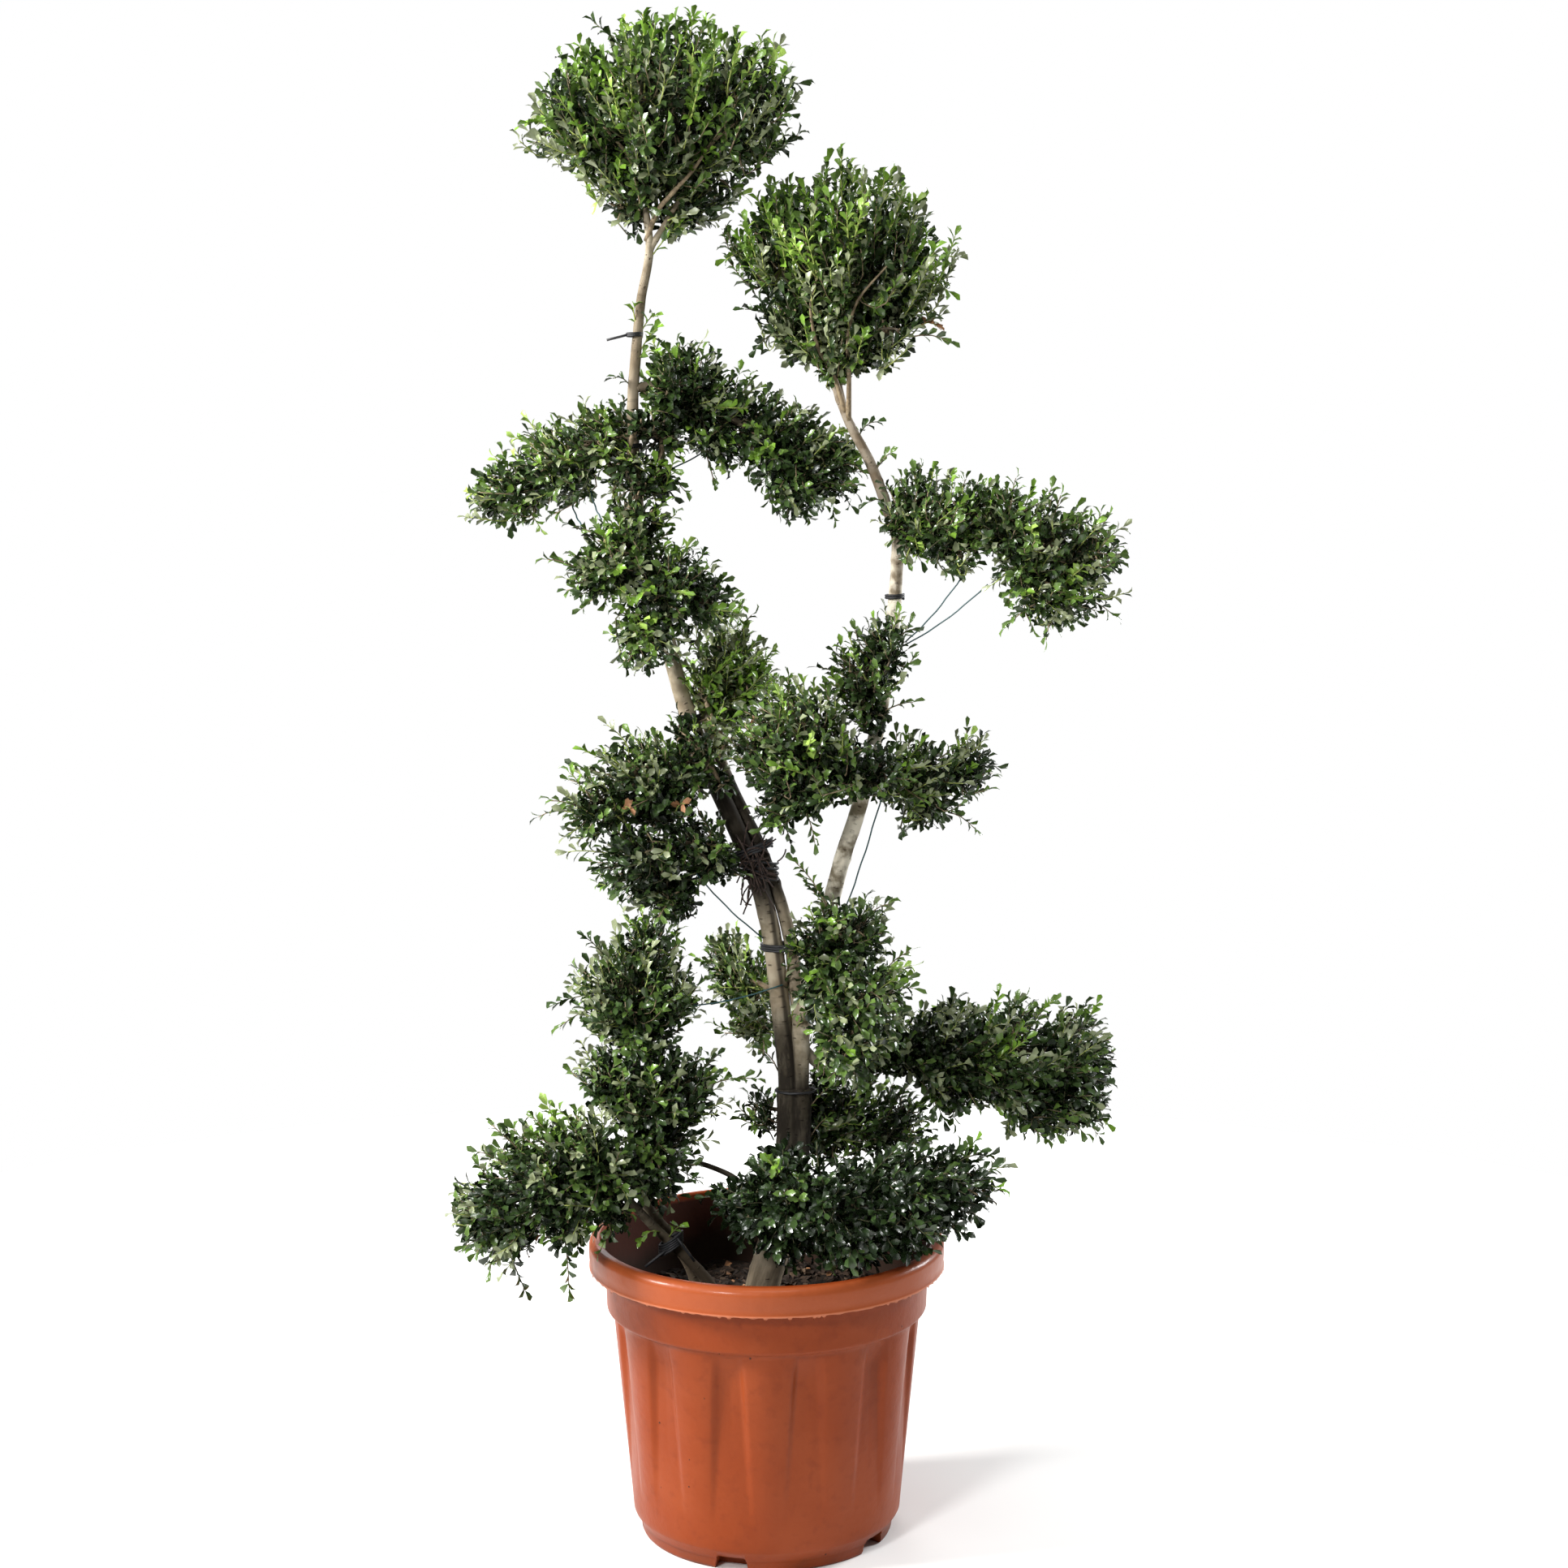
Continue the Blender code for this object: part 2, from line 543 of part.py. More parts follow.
def core_lobe(name, lobe, collection):
    """A round lobe of the dense core, shrunk until it keeps clear of the other masses."""
    x, y, z, reach = lobe
    depth = MASSES[name]["depth"]
    tumble = Vector((x, z, reach)).to_track_quat("Z", "Y").to_matrix().to_4x4()
    share = CORE_SHARE
    while True:
        shape = bmesh.new()
        size = Matrix.Diagonal((share * reach, share * reach * depth, share * reach, 1))
        bmesh.ops.create_uvsphere(
            shape, u_segments=LOBE_SIDES, v_segments=LOBE_RINGS, radius=1,
            matrix=Matrix.Translation((x, y, z)) @ size @ tumble)
        if share < 0.25 or in_own_space(name, [vert.co for vert in shape.verts]):
            break
        shape.free()
        share -= 0.03
    mesh = bpy.data.meshes.new("lobe")
    shape.to_mesh(mesh)
    shape.free()
    return new_object("lobe", mesh, collection)


def point_on_limb(limb, at):
    """Where a mass's stem starts: in the limb's tip, or on its centreline at a height."""
    path, _ = limb_shape(limb)
    if at == "tip":
        return path[-1] + (path[-2] - path[-1]).normalized() * 0.004
    return min(path, key=lambda place: abs(place.z - at))


def twig_leaves(mass, name, twig_start, twig_end, length, limb_points, rng):
    """The frames of the leaves on one twig: one at its tip and one to each side, where there is room."""
    along = (twig_end - twig_start).normalized()
    bent = along.cross(random_vector(rng)).normalized() * math.sin(LEAF_SPREAD)
    outward = along * math.cos(LEAF_SPREAD)
    frames = []
    for back, direction in ((0, along), (0.15, outward + bent), (0.4, outward - bent)):
        root = twig_end - along * (LEAF_SINK + back * length)
        frame = leaf_frame(root, direction, length, rng)
        corners = [frame @ Vector(c) for c in ((0, 0, 0), (1, 0, 0), (0, 1, 0), (0, -1, 0))]
        if max(share_of_space(mass, c) for c in corners) > FURTHEST_SHARE:
            continue
        if in_own_space(name, corners) and not near_a_limb(corners, limb_points):
            frames.append(frame)
    return frames


def grow_mass(name, parts, clearances, limb_points, material):
    """One mass: a stem with a fork to each lobe, twigs out of the lobes, leaves on the twigs."""
    mass = MASSES[name]
    rng = random.Random(name)
    pieces = bpy.data.collections.new(f"{name}_pieces")
    bpy.context.scene.collection.children.link(pieces)
    centres = [Vector(lobe[:3]) for lobe in mass["lobes"]]
    root = point_on_limb(LIMBS[mass["limb"]], mass["at"])
    stem = rod(root, centres[0], STEM_RADII, STEM_SIDES, parts)
    for i, centre in enumerate(centres[1:], 1):
        nearest = min(centres[:i], key=lambda place: (place - centre).length)
        rod(nearest, centre, (STEM_RADII[1], STEM_RADII[1]), STEM_SIDES, pieces)
    for lobe in mass["lobes"]:
        core_lobe(name, lobe, pieces)
    leaf_count = 0
    for centre, lobe in zip(centres, mass["lobes"]):
        reach = lobe[3]
        length = min(max(0.6 * reach, LEAF_LENGTHS[0]), LEAF_LENGTHS[1])
        twig_share = max(CORE_SHARE + 0.04, 1 - 0.9 * length / reach)
        twig_count = LEAST_TWIGS + round(TWIGS_PER_AREA * reach ** 2 * mass["depth"])
        for out in spread_directions(twig_count, rng):
            twig_end = centre + Vector((out.x, out.y * mass["depth"], out.z)) * (reach * twig_share)
            if share_of_space(mass, twig_end) < twig_share - 0.05:
                continue
            if not in_own_space(name, [twig_end]) or near_a_limb([twig_end], limb_points):
                continue
            frames = twig_leaves(mass, name, centre, twig_end, length, limb_points, rng)
            if frames:
                rod(centre, twig_end, TWIG_RADII, 3, pieces)
            for frame in frames:
                leaf(frame, pieces)
            leaf_count += len(frames)
    join_pieces(stem, pieces)
    for clearance in clearances.values():
        if boxes_meet(stem, clearance):
            add_boolean(stem, "DIFFERENCE", clearance)
            apply_modifiers(stem)
    keep_largest_body(stem.data)
    stem.name = name
    stem.data.materials.clear()
    stem.data.materials.append(material)
    print(name, leaf_count, "leaves,", len(stem.data.polygons), "triangles")


def join_pieces(stem, pieces):
    """One union of the stem with every twig, leaf and lobe of its mass."""
    add_boolean(stem, "UNION", pieces)
    joined = evaluated_mesh(stem)
    keep_largest_body(joined)
    if not is_closed(joined):
        stem.modifiers["union"].solver = "MANIFOLD"
        joined = evaluated_mesh(stem)
        keep_largest_body(joined)
    stem.modifiers.clear()
    stem.data = joined
    for piece in list(pieces.objects):
        remove_object(piece)
    bpy.data.collections.remove(pieces)


def is_closed(mesh):
    shape = bmesh.new()
    shape.from_mesh(mesh)
    closed = all(edge.is_manifold for edge in shape.edges)
    shape.free()
    return closed


def boxes_meet(first, second):
    for axis in range(3):
        a = [vert.co[axis] for vert in first.data.vertices]
        b = [vert.co[axis] for vert in second.data.vertices]
        if min(a) > max(b) or min(b) > max(a):
            return False
    return True


def limb_samples():
    """Points along every limb, close enough together to test a leaf against."""
    samples = []
    for limb in LIMBS.values():
        path, radii = limb_shape(limb)
        for start, end, r0, r1 in zip(path, path[1:], radii, radii[1:]):
            count = max(1, math.ceil((end - start).length / 0.006))
            for i in range(count + 1):
                t = i / count
                samples.append((start.lerp(end, t), r0 + (r1 - r0) * t))
    return samples


def main():
    clear_scene()
    parts = new_collection("holly_bonsai")
    cutters = new_collection("cutters")
    terracotta = new_material("terracotta_plastic", (0.60, 0.17, 0.06), 0.45)
    earth = new_material("potting_soil", (0.030, 0.021, 0.016), 0.95)
    bark = new_material("bark", (0.36, 0.31, 0.24), 0.8)
    foliage = new_material("foliage", (0.045, 0.115, 0.030), 0.4)
    make_pot(parts, cutters, terracotta)
    make_soil(parts, earth)
    clearances = make_limbs(parts, cutters, bark)
    samples = limb_samples()
    for name in MASSES:
        grow_mass(name, parts, clearances, samples, foliage)
    for clearance in clearances.values():
        remove_object(clearance)


main()
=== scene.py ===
# Cloud-pruned holly in its nursery pot. Metres, +Z up, the front is -Y.
# Angles round the pot run from the front towards +X.
import math

import bmesh
import bpy
import numpy as np
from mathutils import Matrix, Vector, noise


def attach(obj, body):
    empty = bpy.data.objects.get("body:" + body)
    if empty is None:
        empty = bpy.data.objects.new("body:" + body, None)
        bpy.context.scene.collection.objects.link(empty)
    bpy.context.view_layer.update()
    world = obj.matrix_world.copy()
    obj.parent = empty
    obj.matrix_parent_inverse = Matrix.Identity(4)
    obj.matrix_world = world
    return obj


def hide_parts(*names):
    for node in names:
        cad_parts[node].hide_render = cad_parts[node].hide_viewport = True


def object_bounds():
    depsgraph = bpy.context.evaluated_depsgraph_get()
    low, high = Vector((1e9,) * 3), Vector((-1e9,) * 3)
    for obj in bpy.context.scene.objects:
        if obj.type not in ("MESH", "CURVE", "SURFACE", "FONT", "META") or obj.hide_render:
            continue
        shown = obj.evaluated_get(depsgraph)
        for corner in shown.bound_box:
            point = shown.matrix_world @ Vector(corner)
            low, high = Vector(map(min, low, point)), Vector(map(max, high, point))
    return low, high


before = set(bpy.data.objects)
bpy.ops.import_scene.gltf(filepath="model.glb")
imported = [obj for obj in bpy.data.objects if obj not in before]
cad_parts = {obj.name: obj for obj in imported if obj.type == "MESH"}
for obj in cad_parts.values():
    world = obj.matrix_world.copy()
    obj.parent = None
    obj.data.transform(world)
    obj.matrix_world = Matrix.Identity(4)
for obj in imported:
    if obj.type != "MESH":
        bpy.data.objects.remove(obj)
cadLow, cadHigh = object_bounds()
print("frame loaded")

# Camera, lights, sky and floor

studio = {
    "imageSize": 1932,
    "focalPixels": 3617,
    "cameraPlace": (0.0245, -4.0, 1.646),
    "cameraPitch": math.radians(8.27),
    "sensor": 36,
    "floorRadius": 2.4,
    "floorDrop": 0.0006,
    "floorSides": 96,
    "floorColour": (0.84, 0.84, 0.83),
    "skySeen": (1, 1, 1),
    "skyLight": 0.135,
    "skyMirrored": 0.26,
    "lights": {
        "keyLight": dict(place=(-4.2, -0.8, 3.1), aim=1.0, size=1.4, power=478, tint=(1, 0.985, 0.96)),
        "frontLight": dict(place=(-2.0, -3.7, 2.9), aim=1.0, size=0.9, power=130, tint=(1, 1, 1)),
        "rimLight": dict(place=(3.6, 2.1, 2.2), aim=0.9, size=1.6, power=225, tint=(0.96, 0.98, 1)),
        "topLight": dict(place=(0.2, -1.7, 4.6), aim=1.6, size=2.0, power=40, tint=(1, 1, 0.98)),
        "backLight": dict(place=(-0.6, 4.2, 2.8), aim=1.0, size=2.4, power=70, tint=(1, 1, 1)),
    },
}


def areaLight(name, place, aim, size, power, tint):
    # Each light is aimed at a height on the plant's axis
    data = bpy.data.lights.new(name, "AREA")
    data.shape = "DISK"
    data.size = size
    data.energy = power
    data.color = tint
    light = bpy.data.objects.new(name, data)
    bpy.context.scene.collection.objects.link(light)
    light.location = place
    towards = Vector((0, 0, aim)) - Vector(place)
    light.rotation_euler = towards.to_track_quat("-Z", "Y").to_euler()


def setCamera():
    data = bpy.data.cameras.new("camera")
    data.sensor_width = studio["sensor"]
    data.lens = studio["focalPixels"] * studio["sensor"] / studio["imageSize"]
    camera = bpy.data.objects.new("camera", data)
    bpy.context.scene.collection.objects.link(camera)
    camera.location = studio["cameraPlace"]
    camera.rotation_euler = (math.pi / 2 - studio["cameraPitch"], 0, 0)
    bpy.context.scene.camera = camera


# Shader and geometry nodes, written as sums


class Wire:
    # An output socket that can be added to, taken from and multiplied

    def __init__(self, maker, socket):
        self.maker = maker
        self.socket = socket

    def out(self, name):
        return Wire(self.maker, self.socket.node.outputs[name])

    def __add__(self, other):
        return self.maker.number("ADD", self, other)

    __radd__ = __add__

    def __sub__(self, other):
        return self.maker.number("SUBTRACT", self, other)

    def __rsub__(self, other):
        return self.maker.number("SUBTRACT", other, self)

    def __mul__(self, other):
        return self.maker.number("MULTIPLY", self, other)

    __rmul__ = __mul__


class Maker:
    # Adds nodes to one tree

    def __init__(self, tree):
        self.tree = tree

    def add(self, kind, settings=None, sockets=None, out=0):
        node = self.tree.nodes.new(kind)
        for name, value in (settings or {}).items():
            if name == "stops":
                self.setStops(node.color_ramp, value)
            else:
                setattr(node, name, value)
        for key, value in (sockets or {}).items():
            if isinstance(value, Wire):
                self.tree.links.new(value.socket, node.inputs[key])
            else:
                node.inputs[key].default_value = value
        return Wire(self, node.outputs[out]) if len(node.outputs) else node

    def number(self, operation, first, second=0):
        return self.add("ShaderNodeMath", {"operation": operation}, {0: first, 1: second})

    def axes(self, vector):
        return self.add("ShaderNodeSeparateXYZ", None, {0: vector})

    def named(self, label, kind):
        return self.add("GeometryNodeInputNamedAttribute", {"data_type": kind}, {"Name": label})

    def compare(self, operation, first, second):
        return self.add("FunctionNodeCompare", {"operation": operation}, {0: first, 1: second})

    def between(self, low, high, seed):
        # A random number for each point
        sockets = {2: low, 3: high, "Seed": seed}
        return self.add("FunctionNodeRandomValue", {"data_type": "FLOAT"}, sockets, out=1)

    def fromAxis(self, axes):
        # How far a place lies from the pot's axis
        flat = self.add("ShaderNodeCombineXYZ", None, {0: axes.out("X"), 1: axes.out("Y")})
        return self.add("ShaderNodeVectorMath", {"operation": "LENGTH"}, {0: flat}, out=1)

    def setStops(self, ramp, stops):
        while len(ramp.elements) < len(stops):
            ramp.elements.new(0.5)
        for element, (place, colour) in zip(ramp.elements, stops):
            element.position = place
            element.color = (*colour, 1)


class Finish(Maker):
    # A material on its Principled shader

    def __init__(self, name):
        self.material = bpy.data.materials.new(name)
        self.material.use_nodes = True
        super().__init__(self.material.node_tree)
        self.shader = self.tree.nodes["Principled BSDF"]
        self.place = self.add("ShaderNodeTexCoord", out="Object")

    def grain(self, scale, detail=3, place=None, roughness=0.55):
        sockets = {"Vector": place or self.place, "Scale": scale, "Detail": detail}
        return self.add("ShaderNodeTexNoise", None, {**sockets, "Roughness": roughness})

    def cells(self, scale, place=None):
        return self.add("ShaderNodeTexVoronoi", None, {"Vector": place or self.place, "Scale": scale})

    def chance(self, cells):
        # One random number for each cell
        return self.add("ShaderNodeSeparateColor", None, {0: cells.out("Color")})

    def blend(self, share, first, second):
        return self.add("ShaderNodeMix", {"data_type": "RGBA"}, {0: share, 6: first, 7: second}, out=2)

    def fade(self, value, low, high):
        settings = {"interpolation_type": "SMOOTHSTEP", "clamp": True}
        return self.add("ShaderNodeMapRange", settings, {0: value, 1: low, 2: high, 3: 0.0, 4: 1.0})

    def stretch(self, scale, place=None):
        return self.add("ShaderNodeMapping", None, {"Vector": place or self.place, "Scale": scale})

    def bump(self, height, distance, strength=1.0):
        sockets = {"Height": height, "Distance": distance, "Strength": strength}
        return self.add("ShaderNodeBump", None, sockets)

    def done(self, **sockets):
        names = dict(colour="Base Color", roughness="Roughness", normal="Normal", coat="Coat Weight",
                     coatRoughness="Coat Roughness", gloss="Specular IOR Level")
        for key, value in sockets.items():
            socket = self.shader.inputs[names[key]]
            if isinstance(value, Wire):
                self.tree.links.new(value.socket, socket)
            else:
                socket.default_value = value
        return self.material


def rgb(red, green, blue):
    return red, green, blue, 1


def floorFinish():
    finish = Finish("studioFloor")
    return finish.done(colour=rgb(*studio["floorColour"]), roughness=0.9, gloss=0.1)


def terracottaFinish():
    look = dict(
        # Below, the inside colour is painted shade, the colour of dirt also paints a shadow on the rim, and
        # the last colour is painted light on the roll of the rim
        main=rgb(0.208, 0.0345, 0.0060), pale=rgb(0.275, 0.058, 0.0160), deep=rgb(0.132, 0.019, 0.0045),
        dirt=rgb(0.020, 0.012, 0.008), inside=rgb(0.034, 0.011, 0.007), flash=rgb(0.52, 0.17, 0.085),
        paintedLight=rgb(0.375, 0.088, 0.028),
        # Heights and radii that part the inside from the outside, each from none to full
        wallInside=(0.1772, 0.1764), wallSlope=0.13, wallFrom=(0.325, 0.328), bandInside=(0.2086, 0.2076),
        bandFrom=(0.312, 0.315), crest=(0.4240, 0.4200), soilLine=(0.345, 0.300),
        dirtyFoot=(0.058, 0.022), smudge=(-0.236, -0.040, 0.405), rimShadowReach=(0.044, 0.018),
        lip=0.3845, rollRadius=(0.2380, 0.2440), lipFade=0.002, flashRadius=(0.2445, 0.2470),
        flashWidth=(0.0030, 0.0012), fleckSize=(0.085, 0.060), fleckRarity=(0.93, 0.94))
    finish = Finish("terracottaPlastic")
    axes = finish.axes(finish.place)
    high = axes.out("Z")
    radius = finish.fromAxis(axes)
    cloud = finish.grain(7, 4)
    mottle = finish.grain(55, 3)
    skin = finish.grain(260, 2)
    scuffs = finish.grain(18, 5, finish.stretch((1, 1, 0.16)), 0.7)
    colour = finish.blend(finish.fade(cloud, 0.35, 0.75) * 0.5, look["main"], look["pale"])
    colour = finish.blend(finish.fade(mottle, 0.48, 0.80) * 0.35, colour, look["deep"])
    colour = finish.blend(finish.fade(scuffs, 0.60, 0.80) * 0.22, colour, look["pale"])
    # Painted shade darkens the inside below the crest in the inside colour. Soil has been splashed up the
    # inside, and the foot has stood in dirt
    inner = finish.fade(radius - high * look["wallSlope"], *look["wallInside"])
    inner = inner * finish.fade(high, *look["wallFrom"])
    below = finish.fade(radius, *look["bandInside"]) * finish.fade(high, *look["bandFrom"])
    shadedInside = finish.number("MAXIMUM", inner, below) * finish.fade(high, *look["crest"])
    splash = finish.fade(high - cloud * 0.10, *look["soilLine"])
    colour = finish.blend(shadedInside * 0.93, colour, look["inside"])
    colour = finish.blend(shadedInside * splash * 0.9, colour, look["dirt"])
    foot = finish.fade(high + mottle * 0.05, *look["dirtyFoot"]) * finish.fade(cloud, 0.42, 0.62)
    colour = finish.blend(foot * 0.55, colour, look["dirt"])
    # A painted shadow of the leaves above darkens the left end of the rim, in the colour of dirt, and
    # roughens it
    distance = {"operation": "DISTANCE"}
    away = finish.add("ShaderNodeVectorMath", distance, {0: finish.place, 1: look["smudge"]}, out=1)
    smudge = finish.fade(away + mottle * 0.020, *look["rimShadowReach"])
    colour = finish.blend(smudge * 0.9, colour, look["dirt"])
    # The roll of the rim is painted paler, as painted light on its top, and the thin flash under it is
    # paler
    aboveLip = finish.fade(high, look["lip"] - look["lipFade"], look["lip"] + look["lipFade"])
    roll = finish.fade(radius, *look["rollRadius"]) * aboveLip
    colour = finish.blend(roll * 0.55, colour, look["paintedLight"])
    fromLip = finish.number("ABSOLUTE", high - look["lip"])
    flash = finish.fade(radius, *look["flashRadius"]) * finish.fade(fromLip, *look["flashWidth"])
    colour = finish.blend(flash * 0.75, colour, look["flash"])
    # A few flecks of soil stick to the wall
    fleck = finish.cells(48)
    fleckMask = finish.fade(fleck, *look["fleckSize"])
    fleckMask = fleckMask * finish.fade(finish.chance(fleck), *look["fleckRarity"])
    colour = finish.blend(fleckMask * 0.85, colour, look["dirt"])
    roughness = 0.32 + cloud * 0.10 + mottle * 0.06 + smudge * 0.2 + shadedInside * 0.55
    normal = finish.bump(skin * 0.10 + mottle * 0.55 + cloud * 0.8 + fleckMask * 1.2, 0.0012)
    return finish.done(colour=colour, roughness=roughness, normal=normal, gloss=0.15, coat=roll * 0.15,
                       coatRoughness=0.16)


def soilFinish():
    finish = Finish("pottingSoil")
    crumbs = finish.grain(170, 5, None, 0.7)
    clods = finish.grain(34, 4)
    damp, dry, dusty = rgb(0.006, 0.004, 0.003), rgb(0.036, 0.022, 0.014), rgb(0.085, 0.052, 0.032)
    colour = finish.blend(finish.fade(crumbs, 0.35, 0.75), damp, dry)
    colour = finish.blend(finish.fade(clods, 0.55, 0.75) * 0.35, colour, dusty)
    normal = finish.bump(crumbs * 0.7 + clods, 0.004)
    return finish.done(colour=colour, roughness=0.95, normal=normal, gloss=0.2)


def chipFinish():
    finish = Finish("barkChips")
    # Each chip has its own shade, from dark to pale
    shade = finish.add("ShaderNodeAttribute", {"attribute_name": "shade"}, out="Fac")
    stops = [(0, (0.010, 0.006, 0.004)), (0.60, (0.026, 0.015, 0.009)), (0.92, (0.060, 0.036, 0.022)),
             (1, (0.15, 0.100, 0.062))]
    colour = finish.add("ShaderNodeValToRGB", {"stops": stops}, {0: shade})
    fibres = finish.grain(120, 4)
    colour = finish.blend(finish.fade(fibres, 0.45, 0.7) * 0.5, colour, rgb(0.015, 0.009, 0.006))
    return finish.done(colour=colour, roughness=0.85, normal=finish.bump(fibres, 0.0015), gloss=0.3)


def barkFinish():
    look = dict(
        pale=rgb(0.430, 0.372, 0.275), deep=rgb(0.200, 0.165, 0.110), foot=rgb(0.330, 0.262, 0.180),
        earth=rgb(0.210, 0.155, 0.098), ring=rgb(0.10, 0.085, 0.06), lenticel=rgb(0.085, 0.062, 0.042),
        # The near-black colour on this line is painted shade, and the near-white one is painted light
        fibre=rgb(0.105, 0.078, 0.050), wet=rgb(0.016, 0.012, 0.008), paintedLight=rgb(0.86, 0.79, 0.65),
        brown=rgb(0.160, 0.116, 0.076), shaded=rgb(0.130, 0.094, 0.060), splashed=rgb(0.060, 0.043, 0.027),
        # Heights and places across the plant where each mark starts and is full: stains, painted shade and
        # painted light
        footTop=(0.47, 0.41), trunkTop=(0.815, 0.745), trunkFoot=(0.47, 0.53), rightHalf=(0.034, 0.042),
        rightHigher=0.070, stemFoot=(0.90, 0.97), stemTop=(1.19, 1.11), stemSide=(0.06, 0.03),
        splashTop=(0.52, 0.45), splashSide=(-0.052, -0.062), paintedLightSide=(0.044, 0.056),
        paintedLightFoot=(0.68, 0.74), brownFoot=(1.36, 1.46), brownSide=(0.06, 0.09),
        shadedFoot=(1.43, 1.50), shadedTop=(1.86, 1.78), shadedSide=(-0.05, -0.09),
        # The painted shade in the groove between the two stems leans to the left and ends straight
        grooveStart=0.1258, grooveLean=0.133, grooveMost=0.038, grooveWidth=(0.0070, 0.0030),
        grooveFoot=(0.53, 0.60), grooveTop=(0.97, 0.90))
    # The map runs round the limb in U and up it in V, both in metres
    finish = Finish("smoothBark")
    along = finish.add("ShaderNodeUVMap", {"uv_map": "barkMap"})
    axes = finish.axes(finish.place)
    high, across = axes.out("Z"), axes.out("X")
    patches = finish.grain(26, 4)
    streaks = finish.grain(60, 4, finish.stretch((1.0, 0.22, 1.0), along), 0.65)
    drips = finish.grain(34, 4, finish.stretch((1, 1, 0.18)), 0.6)
    broad = finish.grain(11, 3)
    rings = finish.grain(1.0, 3, finish.stretch((14, 120, 1), along))
    pits = finish.cells(1.0, finish.stretch((95, 210, 1), along))
    lenticels = finish.fade(pits, 0.34, 0.14) * finish.fade(finish.chance(pits), 0.70, 0.76)
    patchy, dripping = high + patches * 0.10, high + drips * 0.10
    colour = finish.blend(finish.fade(patches, 0.38, 0.66), look["pale"], look["deep"])
    colour = finish.blend(finish.fade(broad, 0.46, 0.62) * 0.45, colour, look["earth"])
    colour = finish.blend(finish.fade(streaks, 0.50, 0.74) * 0.6, colour, look["deep"])
    colour = finish.blend(finish.fade(rings, 0.62, 0.72) * 0.45, colour, look["ring"])
    colour = finish.blend(lenticels * 0.7, colour, look["lenticel"])
    # Damp bark near the soil is olive brown
    grained = finish.blend(finish.fade(streaks, 0.38, 0.64) * 0.75, look["foot"], look["fibre"])
    colour = finish.blend(finish.fade(patchy, *look["footTop"]) * 0.90, colour, grained)
    # Painted light makes the right stem paler in patches above its foot
    paintedLightPatches = finish.fade(across, *look["paintedLightSide"]) * finish.fade(high, *look["paintedLightFoot"])
    paintedLightPatches = paintedLightPatches * finish.fade(patches, 0.62, 0.45)
    colour = finish.blend(paintedLightPatches * 0.96, colour, look["paintedLight"])
    # Painted shade darkens the groove where the two stems meet
    leaning = finish.number("MINIMUM", look["grooveStart"] - high * look["grooveLean"], look["grooveMost"])
    fromGroove = finish.number("ABSOLUTE", across - leaning)
    grooveShade = finish.fade(fromGroove + patches * 0.004, *look["grooveWidth"])
    grooveShade = grooveShade * finish.fade(high, *look["grooveFoot"]) * finish.fade(high, *look["grooveTop"])
    colour = finish.blend(grooveShade * 0.80, colour, look["wet"])
    # Painted shade darkens the trunk below the fork and the left stem among the pads, where the foliage
    # shades them
    rightSide = finish.fade(across, *look["rightHalf"])
    trunkShade = finish.fade(dripping + rightSide * look["rightHigher"], *look["trunkTop"])
    trunkShade = trunkShade * finish.fade(high + patches * 0.08, *look["trunkFoot"])
    colour = finish.blend(trunkShade * (0.82 + finish.fade(streaks, 0.60, 0.42) * 0.16), colour, look["wet"])
    stemShade = finish.fade(high + drips * 0.08, *look["stemFoot"]) * finish.fade(dripping, *look["stemTop"])
    stemShade = stemShade * finish.fade(across, *look["stemSide"])
    colour = finish.blend(stemShade * (0.91 + finish.fade(streaks, 0.62, 0.44) * 0.08), colour, look["wet"])
    # The upper stems are browner, and darker among the leaves
    brown = finish.fade(patchy, *look["brownFoot"]) * finish.fade(across, *look["brownSide"])
    colour = finish.blend(brown * 0.78, colour, look["brown"])
    shaded = finish.fade(dripping, *look["shadedFoot"]) * finish.fade(dripping, *look["shadedTop"])
    shaded = shaded * finish.fade(across, *look["shadedSide"])
    colour = finish.blend(shaded * 0.52, colour, look["shaded"])
    # The thin stems from the soil are splashed
    splashed = finish.fade(high + patches * 0.08, *look["splashTop"])
    splashed = splashed * finish.fade(across, *look["splashSide"])
    colour = finish.blend(splashed * 0.90, colour, look["splashed"])
    normal = finish.bump(lenticels * 0.8 + streaks * 0.6 + rings * 0.35 + patches * 0.4, 0.0018)
    return finish.done(colour=colour, roughness=0.72 + streaks * 0.2, normal=normal, gloss=0.2)


def leafFinish(name, colour, rough):
    finish = Finish(name)
    tone = finish.grain(30, 2)
    fine = finish.grain(420, 2)
    shaded = tuple(channel * 0.72 for channel in colour[:3]) + (1,)
    mixed = finish.blend(finish.fade(tone, 0.30, 0.70), shaded, colour)
    normal = finish.bump(fine, 0.0004, 0.6)
    return finish.done(colour=mixed, roughness=rough + fine * 0.12, normal=normal, gloss=0.52)


def plainWoodFinish(name, colour, dark):
    finish = Finish(name)
    grain = finish.grain(150, 3)
    mixed = finish.blend(finish.fade(grain, 0.35, 0.70), colour, dark)
    return finish.done(colour=mixed, roughness=0.75, normal=finish.bump(grain, 0.0008), gloss=0.3)


def tieFinish(name, colour, roughness):
    finish = Finish(name)
    wear = finish.grain(90, 3)
    worn = tuple(channel * 1.9 + 0.01 for channel in colour[:3]) + (1,)
    mixed = finish.blend(finish.fade(wear, 0.52, 0.75) * 0.6, colour, worn)
    return finish.done(colour=mixed, roughness=roughness + wear * 0.15, normal=finish.bump(wear, 0.0006))


# Meshes from arrays


